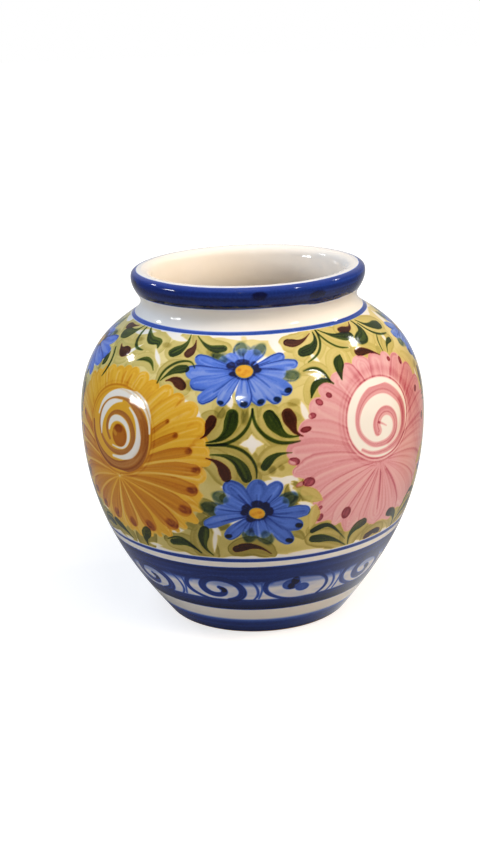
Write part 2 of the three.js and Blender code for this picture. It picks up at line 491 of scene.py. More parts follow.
LOW = [  # along the lower cobalt line
    ("stem", 1.5, (-31, 72.3), (-37, 78), (-44, 81.5), (-51, 79)),
    ("leaf", 4.8, (-30.5, 72), (-35.5, 75.8), (-41.5, 78.2), (-47.5, 77.6)),
    ("leaf", 6.4, (-24, 71.3), (-28, 75.8), (-29.3, 81), (-28.3, 88)),
    ("bud", 5.2, (7.5, 72.3), (3, 76.2), (-4, 78.2), (-11, 76.3)),
    ("leaf", 3.4, (50.5, 75), (45.5, 82), (39.5, 87.2), (30.5, 85)),
    ("leaf", 5.4, (51, 70.2), (44.5, 75.5), (38, 78.5), (31, 79.6)),
    ("leaf", 5.6, (52.5, 70.2), (53.5, 76), (57.5, 80.7), (63.5, 83)),
    ("bud", 4.4, (65, 73), (70, 73.5), (76, 72.5)),
]
LOW_LEFT = [  # more of them on the left
    ("leaf", 7.0, (-66, 70.5), (-67, 75), (-65.5, 81)),
    ("leaf", 4.8, (-78, 71), (-85, 76), (-94, 80)),
]
NECK = [  # beside an upper daisy
    ("leaf", 5.6, (-32.7, 200.5), (-34.5, 195), (-39, 190), (-44, 186.8)),
    ("bud", 4.8, (-29.5, 197), (-30.3, 192.5), (-34.5, 187)),
    ("leaf", 5.2, (-28.5, 200), (-25.5, 195.5), (-20, 191.7), (-14.5, 192)),
    ("stem", 1.4, (-53, 168.5), (-49.5, 174.5), (-43.5, 179.8), (-36.5, 182.6), (-31.8, 182),
     (-30.3, 179)),
    ("leaf", 4.8, (-51, 170), (-45, 174.8), (-40, 177.3), (-35.5, 178.3)),
    ("bud", 6.4, (-47.5, 170.3), (-43, 171.2), (-38, 168.8)),
    ("bud", 5.4, (33, 198.5), (29.8, 195.2), (25, 193.2), (20, 194.2)),
    ("leaf", 7.0, (35, 199), (36, 193), (33.5, 188.7), (28.5, 186.8)),
    ("stem", 1.5, (37, 200), (39, 192), (37, 184.5), (31, 180)),
    ("stem", 1.9, (43, 167.5), (40, 172), (34, 176), (28, 175.3)),
    ("hook", 4.2, (45, 166), (40, 168.6), (35, 167.6), (31.7, 160.5)),
]
BY_YELLOW = [  # above a yellow bloom
    ("bud", 4.8, (-18, 199.5), (-24, 197.5), (-30, 196)),
    ("leaf", 8.0, (-13, 200.5), (-17, 195.5), (-21.5, 192.8), (-26, 191.5)),
    ("stem", 2.0, (-10, 200), (-9, 191.5), (-4.5, 186.3), (1.5, 185.5)),
    ("hook", 5.6, (-6, 200.5), (-2, 196), (3.5, 192.8), (8.5, 192.5), (10.5, 189)),
    ("bud", 7.2, (-20, 185), (-15.5, 181.8), (-10.5, 182)),
    ("hook", 2.8, (17, 175), (13, 179.3), (8, 180.8), (2, 178.8)),
    ("stem", 1.8, (-24, 182), (-20.3, 175), (-21.5, 168), (-24, 164)),
    ("hook", 5.0, (-26.5, 178), (-27, 174), (-29, 170)),
]
BY_PINK = [  # above a pink bloom
    ("leaf", 6.2, (-13.5, 200), (-8, 194.5), (-2, 192), (3, 191.5)),
    ("stem", 1.5, (-15, 200), (-14, 192), (-9.5, 186), (-4, 184.3)),
    ("hook", 6.0, (-19, 167.5), (-17.5, 174), (-12.5, 181)),
    ("bud", 5.2, (10.8, 200), (8, 196.5), (4, 195.8), (0.5, 196)),
    ("leaf", 8.2, (13.5, 200), (15, 193.5), (12, 188.5), (8, 187)),
    ("bud", 5.2, (15.5, 174.5), (10, 178), (4.5, 179.8), (0, 180)),
    ("leaf", 6.6, (17.5, 199.5), (23, 194), (30, 191.3), (36, 190)),
    ("stem", 1.6, (17, 197), (21, 190), (28, 185.3), (37, 183.5)),
    ("stem", 1.0, (20, 176), (21.5, 182), (25, 186)),
    ("leaf", 3.4, (24, 174), (28, 178.3), (35, 179.5)),
]
print(sum(map(len, (FAN, LOW, LOW_LEFT, NECK, BY_YELLOW, BY_PINK))), "marks measured")

# %% [markdown]
# A painter repeats a sprig by turns round the pot, and never twice the same. So
# each measured mark is used again a quarter or half turn on, mirrored where its
# neighbours are, and all but the first get a small shift and width of their own.

# %% Repeat the sprigs round the pot
ALL_ROUND = [(0, 1), (QUARTER, -1), (2 * QUARTER, 1), (-QUARTER, -1)]  # centre, and -1 if mirrored
FRONT_AND_BACK = [(0, 1), (2 * QUARTER, 1)]
marks = []  # every mark: kind, width, centre and path
for table, places in (
    (FAN, ALL_ROUND),
    (LOW, ALL_ROUND),
    (LOW_LEFT, FRONT_AND_BACK),
    (NECK, FRONT_AND_BACK),
    (BY_YELLOW, [(a, 1) for a in YELLOW_AT]),
    (BY_PINK, [(a, 1) for a in PINK_AT]),
):
    for turn_no, (centre, mirror) in enumerate(places):
        for kind, width, *points in table:
            path = line(*points) * (mirror, 1)
            if turn_no:
                path += rng.uniform(-0.8, 0.8, 2)
                width *= rng.uniform(0.9, 1.08)
            marks.append((kind, width, centre, path))
print(len(marks), "marks in the sprigs")

# %% [markdown]
# ## The olive wash
# Thin yellow-green wash covers most of the ground in loose, overlapping lobes, a
# broad one under every leaf. It leaves small slivers of white wherever two lobes
# miss each other, and these make the ground sparkle.

# %% Where the wash lies and where it misses
FIELD = (69.5, 200.9)  # mm up the outline, between the two thin cobalt lines
LOBES = 300  # loose ones, besides one under each leaf
WHITE_GAPS = [  # slivers that the wash leaves out: x, s, length, width and tilt
    (-1, 138.5, 12, 5.4, 0), (-1, 138.5, 10, 5.4, 90), (-32, 156.5, 14, 5, -45),
    (-29, 144.5, 7, 3, -30), (28, 153, 13, 4, -70), (13.5, 192, 15, 5.5, -60),
    (13, 199.5, 15, 3, 0), (-42, 198, 15, 5, -15), (14, 118.2, 13, 3.6, -20),
    (-12.6, 162, 9, 5, -70), (-22.6, 82, 17, 3, 85), (-46, 86.5, 11, 4.5, 0), (27, 71.5, 20, 3, 0),
    (20.5, 112, 9, 3.4, -60), (27, 102.6, 9, 3.4, -20), (-21.5, 89, 9, 4, -60),
    (-53.5, 183, 11, 3.4, -70), (35, 182.5, 8, 3, -50), (-60, 72.6, 9, 2.6, 0),
    (2, 199.8, 9, 1.6, 0),
]
OLIVES = [  # darker second touches of the same wash: x, s, across, along
    (-17, 155.5, 6, 6.5), (-3.2, 198.5, 3, 5), (-48, 191.5, 6, 3.4), (9.3, 124, 4, 4.6),
    (14.3, 125, 3.2, 3.2), (-20, 188.5, 8, 5), (-33, 169, 9, 6), (-29.5, 95, 6, 9),
    (3, 127, 2.4, 3), (-4, 153, 4, 8), (22, 159, 7, 4),
]
print(len(WHITE_GAPS), "white slivers and", len(OLIVES), "darker touches to a quarter turn")

# %% [markdown]
# The ground comes first, over the whole field at once. It is uneven, ends ragged at
# both cobalt lines, and is darker low on the belly than towards the neck.

# %% Lay the wash
ground = paint["wash"]
uneven = cloud(26, 18)
fine_uneven = cloud(7, 5)
s_all = arc[:, None]
low_edge = FIELD[0] + 1.2 + 1.6 * cloud(12, 400)[0][None, :] + 1.0 * fine_uneven
high_edge = FIELD[1] - 1.8 + 2.0 * cloud(16, 400)[0][None, :] + 1.2 * fine_uneven
field = soft((s_all - low_edge) / 0.8) * soft((high_edge - s_all) / 0.8)
gaps = soft((0.80 - cloud(15, 13) + 0.25 * fine_uneven) / 0.07)
deeper = 0.78 + 0.42 * soft((192 - s_all) / 110)
ground += field * gaps * (0.42 + 0.10 * uneven + 0.06 * fine_uneven)
for _ in range(LOBES):
    centre = rng.uniform(-math.pi, math.pi)
    path = bow((0, rng.uniform(*FIELD)), rng.uniform(0, 360), rng.uniform(8, 20),
               rng.uniform(-0.2, 0.2))
    tone = rng.uniform(0.30, 0.62)
    if path[:, 1].min() > FIELD[0] + 5 and path[:, 1].max() < FIELD[1] - 6:
        wide = rng.uniform(5, 10)
        stroke("wash", centre, path, wide, "lobe", tone, streaks=0.14, rim=0.14, covers=0.8)
        if tone > 0.5:
            stroke("leaf", centre, path, wide, "lobe", 0.07, streaks=0.3, rim=0.02, covers=1)
for kind, width, centre, path in marks:
    tone = rng.uniform(0.46, 0.62)
    stroke("wash", centre, path, 1.7 * width + 4.6, "lobe", tone, streaks=0.14, rim=0.18, covers=0.92)
for centre, mirror in zip(DAISIES, MIRRORS):
    for x0, s0, length, width, tilt in WHITE_GAPS:
        middle = np.array([mirror * x0, s0]) + rng.uniform(-2, 2, 2) * bool(centre)
        way = np.array([mirror * math.cos(math.radians(tilt)), math.sin(math.radians(tilt))])
        ends = middle - way * length / 2, middle + way * length / 2
        lift(("wash", "leaf"), centre, line(ends[0], middle + rng.uniform(-0.6, 0.6, 2), ends[1]),
             width, "sliver", 0.95, fade=1.2)
    for x0, s0, across, along in OLIVES:
        dot("wash", centre, mirror * x0, s0, across, along, 0.28, rim=0.05, tilt=rng.uniform(-20, 20),
            fade=1.4)
ground *= deeper
ground *= soft((FIELD[1] - s_all) / 0.6) * soft((s_all - FIELD[0]) / 0.6)
print("wash covers", round(float((ground > 0.2).mean()) * 100), "% of the outside")

# %% [markdown]
# ## The big flowers
# Four big blooms stand about a quarter turn apart, yellow and pink by turns. Each
# is a fan of long strokes pulled out from one root below its heart, the lowest
# ones last. The heart is a disc with a spiral, which the painter draws in one turn
# of the wrist. The root, the heart and the reach of the petals are measured; how
# many strokes fill the fan follows from their width.

# %% One big flower
UNDERCOAT = 0.97  # of the way to the edge is painted flat before the petals
CLOSER = 0.66  # the step between upper petals, against that between lower ones
LEAN = 0.09  # how far a petal at the side bows, as a share of its length
REACH, REACH_DOWN = 72, 48  # mm from the root: the part of the canvas that a bloom may cover


def edge_of(towards, edge):
    """How far from the root the edge of a bloom lies, from its list of measured angles."""
    return np.interp(towards % 360, *zip(*edge))


def bloom_cover(centre, root_s, edge, share):
    """The part of the canvas round a bloom, and how much of it a share of the bloom covers."""
    at, x, s = patch(centre, (-REACH, REACH), (root_s - REACH_DOWN, root_s + REACH))
    away, towards = np.hypot(x, s - root_s), np.degrees(np.arctan2(s - root_s, x))
    return at, soft((share * edge_of(towards, edge) - away) / 2 + 0.5)


def fan_of_petals(centre, look, root_s, edge):
    """Paints broad strokes from the root of the bloom to its edge, the lowest ones last, and
    says how many."""
    at, cover = bloom_cover(centre, root_s, edge, UNDERCOAT)
    wipe(("wash", "leaf"), cover, at)
    paint[look["oxide"]][at] += cover * look["tone"]
    turns = [rng.uniform(0, 8)]
    while turns[-1] < 352:
        upper = math.sin(math.radians(turns[-1])) > 0.1
        turns.append(turns[-1] + rng.uniform(0.6, 1.6) * look["step"] * (CLOSER if upper else 1))
    petals = [((low + high) / 2, math.radians(high - low)) for low, high in zip(turns, turns[1:])]
    for towards, span in sorted(petals, key=lambda p: -math.sin(math.radians(p[0]))):
        upper = math.sin(math.radians(towards)) > 0.2
        reach = edge_of(towards, edge) * (rng.uniform(0.99, 1.03) if upper else rng.uniform(0.98, 1.06))
        across = span * reach * 0.86 + look["overlap"]
        lean = LEAN * math.cos(math.radians(towards))
        blunt = 0.3 if upper else 0.16
        path = bow((0, root_s), towards - math.degrees(lean) * 0.5, reach - across * blunt, lean)
        shape = "fan" if upper else "pointed"
        side = look["side"] * math.copysign(1, math.cos(math.radians(towards)))
        lift(("wash", "leaf"), centre, path, across, shape, fade=RIM)
        stroke(look["oxide"], centre, path, across, shape, look["tone"] * rng.uniform(0.9, 1.1),
               streaks=look["streaks"], rim=0, side=side, root=look["root"], covers=1.0)
    return len(petals)


print("halfway between edges at 50 and 60 mm:", edge_of(45, ((0, 50), (90, 60))), "mm")

# %% [markdown]
# ### Hearts and rings
# The heart of a bloom is a flat oval with rings and a spiral, drawn with the tip of
# the brush while the wheel stands still. A tapered line takes its width from the
# place it runs through, as a hand does by pressing.

# %% Discs, ovals and tapered lines
OVAL_PLACES = 60


def disc(centre, middle, wide, high, edge=0.9):
    """How much of each place lies on a flat oval: the part of the canvas, and the cover."""
    at, x, s = patch(centre, (middle[0] - wide - 3, middle[0] + wide + 3),
                     (middle[1] - high - 3, middle[1] + high + 3))
    away = np.hypot((x - middle[0]) / wide, (s - middle[1]) / high)
    return at, soft((1 - away) * high / edge + 0.5)


def oval(middle, wide, high, start=0, end=360):
    """A path round an oval."""
    a = np.radians(np.linspace(start, end, OVAL_PLACES))
    return np.stack([middle[0] + wide * np.cos(a), middle[1] + high * np.sin(a)], 1)


def tapered(*places):
    """A path and its changing width, from places given as x, s and width in mm."""
    places = np.array(places, float)
    run = np.r_[0, np.cumsum(np.hypot(*np.diff(places[:, :2], axis=0).T))]
    return line(*places[:, :2]), (run / run[-1], places[:, 2])


print("a whole oval 2 by 1 mm spans", np.ptp(oval((0, 0), 1, 0.5), axis=0).round(1), "mm")

# %% [markdown]
# ### Pink
# Pink on tin glaze is tender: broad thin strokes with a darker line where one
# petal ends against the next, and ovals of thick purple near some of the tips.

# %% Measures of a pink flower
PINK = dict(oxide="pink", tone=0.46, streaks=0.18, side=0.13, root=0.07, overlap=5.0, step=15)
PINK_ROOT = 117.4  # mm up the outline; all petals start there
PINK_EDGE = (  # the edge of the bloom from its root: angle and distance in mm
    (0, 56), (20, 61), (45, 60), (70, 60), (90, 60), (111, 57), (130, 56), (150, 55.5), (165, 59.5),
    (178, 52), (195, 46.5), (212, 47), (228, 41), (246, 39), (266, 37), (280, 40), (296, 41),
    (320, 48), (340, 54), (360, 55),
)
PINK_MIDDLE, PINK_DISC = (1.5, 142.3), (24.4, 21.9)  # mm: the middle of the heart and its half axes
FINE_LINES = 38  # thin darker lines along the petals
PINK_SPIRAL = [  # x from the middle of the bloom, s, and width
    (-2, 135.5, 5.2), (-2.8, 139, 5), (-1, 142.6, 4.4), (2.8, 145, 3.8), (7.4, 144.7, 4.2),
    (11.5, 141.5, 4.2), (13, 136.5, 4.2), (11.5, 132, 3.8), (7, 128.7, 3), (0, 127.8, 2.5),
    (-6, 128.8, 2.1), (-11.5, 132.4, 1.9), (-15.4, 137.6, 2), (-16, 144, 2.3), (-13, 150.5, 3),
    (-6.5, 155.8, 4.4), (1.5, 157.9, 5.4), (9, 156.8, 5.5), (16, 152, 5), (20.5, 146, 4.6),
    (21.8, 139, 4.2), (20.2, 132, 3.8), (16, 127, 3.4), (9, 124, 3), (0, 123.2, 2.2),
    (-8, 124.4, 1.6), (-14, 127.4, 1.2),
]
BERRIES = [  # purple ovals: x, s, across, along, tilt, and how brown
    (-42.2, 151, 4.4, 3, 10, 0), (-36.5, 157.5, 4.2, 3.4, -30, 0),
    (-29.9, 160.4, 3.4, 2.8, -20, 0.1), (-54.9, 127.8, 6.4, 4.4, -8, 0),
    (-46.6, 115.3, 6.8, 5.2, 0, 0), (-51.5, 114.4, 5, 3, 30, 0.3), (-38.4, 93, 3.6, 4.6, -15, 0),
    (-39, 99, 2.8, 2, 40, 0), (-22.2, 92.6, 5.8, 7, -15, 0.12), (33, 166.8, 3.2, 4.6, -20, 0.25),
    (21.3, 170.6, 3, 2.6, 0, 0.2), (14.5, 83, 4.4, 3.6, 0, 0.3), (49, 99, 4, 5, 20, 0.2),
    (-47, 144.3, 6, 3, 8, 0.4), (52, 130, 4, 5, 0, 0.2), (43, 148, 4.4, 3, 30, 0.1),
]
print("pink:", len(PINK_SPIRAL), "places on the spiral and", len(BERRIES), "berries")


# %% Paint the pink flowers
def pink_flower(centre):
    """One pink bloom, petals first and heart last; how many petals."""
    petals = fan_of_petals(centre, PINK, PINK_ROOT, PINK_EDGE)
    for k in range(FINE_LINES):  # every third one lies on the upper petals
        towards = rng.uniform(-190, 10) if k % 3 else rng.uniform(0, 180)
        reach = edge_of(towards, PINK_EDGE) * rng.uniform(0.55, 0.95)
        path = bow((0, PINK_ROOT), towards, reach, 0.07 * math.cos(math.radians(towards)))
        stroke("pink", centre, path[3:], rng.uniform(0.6, 1.0), "liner", rng.uniform(0.07, 0.18),
               streaks=0, rim=0, fade=1.2)
    # a soft blush on the right, with a breath of ochre
    for places in (((24, 162), (33, 158), (40, 150), (45, 140)),
                   ((30, 150), (36, 140), (40, 128), (44, 116))):
        stroke("pink", centre, line(*places), 17, "lobe", 0.08, streaks=0.35, rim=0, fade=9)
    dot("ochre", centre, 40, 130, 52, 84, 0.08, rim=0, fade=16)
    for x0, s0, across, along, tilt, brown in BERRIES:
        for oxide in ("wash", "leaf"):
            dot(oxide, centre, x0, s0, across, along, 0, rim=0, covers=1, tilt=tilt)
        dot("pink", centre, x0, s0, across, along, 0.40, rim=0.34, tilt=tilt)
        dot("manganese", centre, x0, s0, across, along, 0.04 + 0.6 * brown, rim=0.22, tilt=tilt)
    at, cover = disc(centre, PINK_MIDDLE, *PINK_DISC)
    wipe(("pink", "manganese"), cover, at)
    path, widths = tapered(*PINK_SPIRAL)
    stroke("pink", centre, path, 1.14, widths, 0.54, streaks=0.25, rim=0.12, fade=1.0)
    path, widths = tapered((-1, 140, 1.4), (2, 138.6, 1), (5, 136.8, 0.5))
    stroke("pink", centre, path, 1, widths, 0.45, streaks=0, rim=0)
    # a blush in the heart, and broken rings round it
    blush = oval(PINK_MIDDLE, 19.6, 16.5, -75, 20)
    stroke("pink", centre, blush, 6, "dab", 0.16, streaks=0.1, rim=0, fade=3)
    for out, tone, wide, start, end in (
        (0.4, 0.24, 1.2, -180, 180), (2.6, 0.14, 1.4, 110, 330), (4.6, 0.08, 1.8, 130, 260),
        (5.0, 0.11, 5.0, -20, 130),
    ):
        ring = oval(PINK_MIDDLE, PINK_DISC[0] + out, PINK_DISC[1] + out, start, end)
        stroke("pink", centre, ring, wide, "even" if wide == 1.2 else "dab", tone, streaks=0.1, rim=0,
               fade=0.7 * wide)
    ring = oval(PINK_MIDDLE, PINK_DISC[0] + 1.5, PINK_DISC[1] + 1.5, -160, 60)
    lift(("pink",), centre, ring, 0.6, "even", 0.5)
    return petals


print("petals on the pink blooms:", [pink_flower(centre) for centre in PINK_AT])

# %% [markdown]
# ### Yellow
# Antimony yellow is laid first and fast, so its edge is ragged. Long ochre
# strokes go over it from the same root, each with a brown tip where the brush
# was lifted. Around the heart the ochre turns into the brown spiral.

# %% Measures of a yellow flower
YELLOW = dict(oxide="yellow", tone=0.52, streaks=0.2, side=0.05, root=0.03, overlap=4.5, step=9)
YELLOW_ROOT = 112.5  # mm up the outline
YELLOW_EDGE = (  # angle and distance from the root in mm
    (0, 54.5), (12, 57), (16, 62.5), (27, 64.5), (42, 66), (56, 62.5), (67, 60), (90, 60.5),
    (120, 61), (145, 58), (165, 55), (180, 53), (194, 49), (206, 44), (217, 39), (240, 35),
    (260, 33.5), (272, 34.5), (298, 37.5), (312, 40), (322, 44), (335, 48.5), (347, 51.5),
    (357, 57), (360, 54.5),
)
YELLOW_MIDDLE, YELLOW_DISC = (-0.5, 139), (27, 25)
OCHRE_SPECKS = 60  # short touches near the edge of the upper petals
OCHRE_LINES = 30  # thin lines along them
OCHRE_STROKES = [  # x and s of the outer end of each, and its width
    (36, 149.8, 3), (42, 143, 4.6), (50.5, 135, 6.2), (55, 124.6, 8), (52.5, 112.5, 9.6),
    (47, 99.2, 12), (36.5, 88, 12.4), (19.5, 82.6, 11.6), (4, 81.5, 10), (-12.5, 83.5, 10.5),
    (-26, 87, 9.5), (-37, 93.5, 10.5), (-45, 104, 11.5), (-48, 117.5, 9.5), (-47, 129.5, 7.5),
    (-42, 141, 5.5),
]
BROWN_SPIRAL = [  # x, s and width
    (-6.5, 133, 2), (-9, 137.5, 1.8), (-8.2, 143, 1.9), (-3.5, 147.7, 2.2), (3, 148.8, 2.4),
    (9, 146.4, 3), (12.6, 141, 3.4), (12.8, 134.6, 3.6), (9.6, 129.6, 3.4), (4, 126.8, 3),
    (-3, 126.4, 2.6), (-10, 128.8, 2.3), (-15, 133.5, 2), (-16.9, 140, 1.9), (-15.4, 147, 1.6),
    (-10.5, 152.8, 1.3), (-3, 156.2, 1.2), (4, 157.2, 1.3), (10.5, 155.2, 2.2), (16, 151, 4.6),
    (19.8, 145, 7), (20.8, 137.5, 8.6), (19, 129.8, 8.4), (14, 123.4, 7.4), (7, 119.6, 6.8),
    (-2, 118.2, 6.2), (-11, 120.2, 5.2), (-18.5, 125, 3.8), (-23.4, 132, 2.4), (-24.6, 139, 1.2),
]
WHITE_BANDS = [  # between the turns of the spiral: x, s and width
    [(24.6, 141, 0.8), (23.8, 148, 1.8), (20, 154.6, 3.4), (13, 158.8, 4.6), (5, 160, 4.2),
     (-3, 159, 3.4), (-10, 156, 2.6), (-15.5, 151, 1.8), (-18.6, 144.5, 0.8)],
    [(-15, 134, 0.6), (-15.2, 139.5, 2.2), (-13.4, 145.6, 3.4), (-9.4, 150.8, 3.6), (-4, 154, 2.4),
     (2, 155.2, 0.8)],
    [(9, 152.6, 0.8), (13.8, 148.6, 1.6), (16.6, 142, 2.2), (16.8, 135.5, 3.2), (14.4, 130, 3.6),
     (9.6, 126, 3), (3.5, 124, 2), (-4, 123.5, 1.2)],
    [(-7, 138.4, 1), (-5.6, 142.4, 2.8), (-1.6, 145.2, 3), (3.4, 145.2, 2.6), (7.6, 142.8, 2.4),
     (9.6, 138.6, 2), (9.2, 134.2, 1.8), (6.8, 130.8, 1.2), (2, 129.2, 0.9), (-4, 129.6, 0.6)],
]
print("yellow:", len(OCHRE_STROKES), "ochre strokes and", len(WHITE_BANDS), "white bands")


# %% Paint the yellow flowers
def from_root(x1, s1, short=0.0):
    """A bowed path from the root of a yellow bloom towards a place, and its direction."""
    length, towards = math.hypot(x1, s1 - YELLOW_ROOT), math.degrees(math.atan2(s1 - YELLOW_ROOT, x1))
    return bow((0, YELLOW_ROOT), towards, length - short,
               0.07 * math.cos(math.radians(towards))), towards


def yellow_flower(centre):
    """One yellow bloom, petals first and heart last; how many petals."""
    petals = fan_of_petals(centre, YELLOW, YELLOW_ROOT, YELLOW_EDGE)
    for _ in range(OCHRE_SPECKS):
        towards = rng.uniform(-20, 200)
        away = edge_of(towards, YELLOW_EDGE) * rng.uniform(0.66, 0.96)
        root = (away * math.cos(math.radians(towards)),
                YELLOW_ROOT + away * math.sin(math.radians(towards)))
        stroke("ochre", centre, bow(root, towards, rng.uniform(2, 8), 0.1), rng.uniform(0.8, 2.6),
               "dab", rng.uniform(0.05, 0.24), streaks=0.3, rim=0, fade=1.2)
    for _ in range(OCHRE_LINES):
        towards = rng.uniform(-15, 195)
        reach = edge_of(towards, YELLOW_EDGE) * rng.uniform(0.7, 0.97)
        path = bow((0, YELLOW_ROOT), towards, reach, 0.09 * math.cos(math.radians(towards)))
        stroke("ochre", centre, path[5:], rng.uniform(0.8, 2.2), "liner", rng.uniform(0.05, 0.15),
               streaks=0, rim=0, fade=1.4)
    ends = [(x1 + rng.uniform(-1, 1) * (centre > 0), s1, across) for x1, s1, across in OCHRE_STROKES]
    for x1, s1, across in ends:
        path, towards = from_root(x1, s1, across * 0.42)
        stroke("ochre", centre, path, across, "fan", 0.36, streaks=0.3, rim=0.08, side=0.05, covers=0.7)
        last = path[-1] + 0.10 * across * (path[-1] - path[-2]) / np.hypot(*(path[-1] - path[-2]))
        dot("ochre", centre, last[0], last[1], 0.55 * across + 1, 0.36 * across + 0.8, 0.32, rim=0.05,
            tilt=towards, fade=1.6)
    # pale gaps between the ochre strokes
    for (x1, s1, _), (x2, s2, _) in zip(ends[2:], ends[3:]):
        path, towards = from_root((x1 + x2) / 2, (s1 + s2) / 2)
        lift(("ochre",), centre, path, 1.4, "lobe", 0.8, fade=1.0)
        lift(("yellow",), centre, path, 1.0, "lobe", 0.15, fade=1.0)
    at, cover = disc(centre, YELLOW_MIDDLE, *YELLOW_DISC)
    wipe(("yellow", "ochre"), cover, at)
    paint["yellow"][at] += 0.55 * cover
    paint["ochre"][at] += 0.06 * cover
    path, widths = tapered(*BROWN_SPIRAL)
    lift(("yellow",), centre, path, 1, widths, 0.6, fade=1.2)
    stroke("ochre", centre, path, 1, widths, 0.36, streaks=0.3, rim=0.18, tip=0.06, covers=1, fade=0.8)
    stroke("manganese", centre, path, 1, widths, 0.28, streaks=0.3, rim=0.14, fade=0.8)
    for places in WHITE_BANDS:
        path, widths = tapered(*places)
        lift(("yellow", "ochre", "manganese"), centre, path, 1.25, widths, 0.95, fade=0.7)
    # the brown eye of the bloom, with a pale comma lifted out as a painted highlight
    dot("ochre", centre, 2.2, 136.2, 12, 12.6, 0.32, rim=0.08, fade=1.0)
    dot("manganese", centre, 2.2, 136.2, 12, 12.6, 0.16, rim=0.08, fade=1.0)
    dot("ochre", centre, 1.5, 140, 6, 4.4, 0.22, fade=1.5)
    # the painted highlight: ochre taken off in a pale comma on the eye
    lift(("ochre",), centre, line((-6.5, 138), (-3.4, 138), (-1, 136.6)), 2.6, "comma", 0.75, fade=1.0)
    dark = oval(YELLOW_MIDDLE, 21.4, 17, -48, 28)
    stroke("ochre", centre, dark, 4, "dab", 0.14, streaks=0.3, rim=0, fade=2)
    for out, tone, wide in ((-0.4, 0.34, 1.1), (-2.6, 0.20, 0.9), (1.6, 0.12, 1.0)):
        ring = oval(YELLOW_MIDDLE, YELLOW_DISC[0] + out, YELLOW_DISC[1] + out, -180, 180)
        stroke("ochre", centre, ring, wide, "even", tone, streaks=0.2, rim=0, fade=0.9)
    return petals


print("petals on the yellow blooms:", [yellow_flower(centre) for centre in YELLOW_AT])

# %% [markdown]
# ## The daisies
# Small blue daisies stand between the big flowers, one near the neck and one low
# on the belly. A petal is one press of a brush that is loaded more on one side, so
# each has a dark edge and a pale one. A tip that runs over the olive wash turns
# dark green and loses its edge, and some tips end in a dark touch.

# %% Measures of the daisies
GREEN_FROM = 11  # the place along a petal from which its tip lies on the wash
UPPER = dict(  # petals as x and s of the tip, width, and what the tip does
    middle=(-3.6, 177.6), tone=0.44, edging=0.30, yolk=(9.6, 7.8, 0),
    petals=[
        (-5.2, 196.5, 10, "green"), (7.4, 194.8, 9, "green"), (-12, 188.5, 6.5, ""),
        (17.8, 186, 7.4, ""), (-20.5, 188.5, 9.5, "green"), (25, 180.3, 7, ""), (-30, 185, 9, ""),
        (-35.5, 176, 10, ""), (26.6, 172.6, 8.5, "green"), (-33, 169, 8.5, ""),
        (21, 164.8, 8.5, "dark"), (-28.6, 160.6, 7, ""), (14.6, 160, 8.5, "dark"),
        (-17.6, 159.2, 6.8, "dark"), (5.4, 158.8, 8.5, "dark"), (-4.4, 157.6, 9, "dark"),
    ],
    touches=[
        (-4.4, 183, 7.4, 3.8, 0), (-10.6, 181.2, 4.8, 3.8, 25), (2, 180.6, 3.8, 5.8, 20),
        (-9.8, 176, 3.6, 2.6, 0), (3.6, 178, 3.4, 3, 0),
    ],
)
LOWER = dict(
    middle=(0.6, 99.4), tone=0.54, edging=0.14, yolk=(8.8, 6.8, -12),
    petals=[
        (1.3, 119.2, 12, ""), (13.4, 117, 9, ""), (-15.5, 118, 11, ""), (23.4, 109.4, 9.5, "green"),
        (-23.5, 111, 9.5, "green"), (-31, 103.4, 9, "green"), (29.3, 98.6, 8, ""),
        (25, 89, 9, "dark"), (-28.5, 91.8, 7.5, ""), (19, 79, 9, "dark"), (-16.5, 83.6, 8, "dark"),
        (7, 78.6, 10, "green"), (-5, 80.6, 10, "green"),
    ],
    touches=[
        (-5.2, 103, 4.8, 3.8, 30), (0.8, 105.2, 6, 3.8, 0), (5.4, 103.8, 4.2, 4.2, -30),
        (7.4, 100.4, 3.8, 5, 0), (-6.4, 99.8, 3.4, 3.4, 0), (-3.4, 95.4, 4, 2.4, -20),
    ],
)
print("petals:", len(UPPER["petals"]), "on an upper daisy and", len(LOWER["petals"]), "on a lower one")


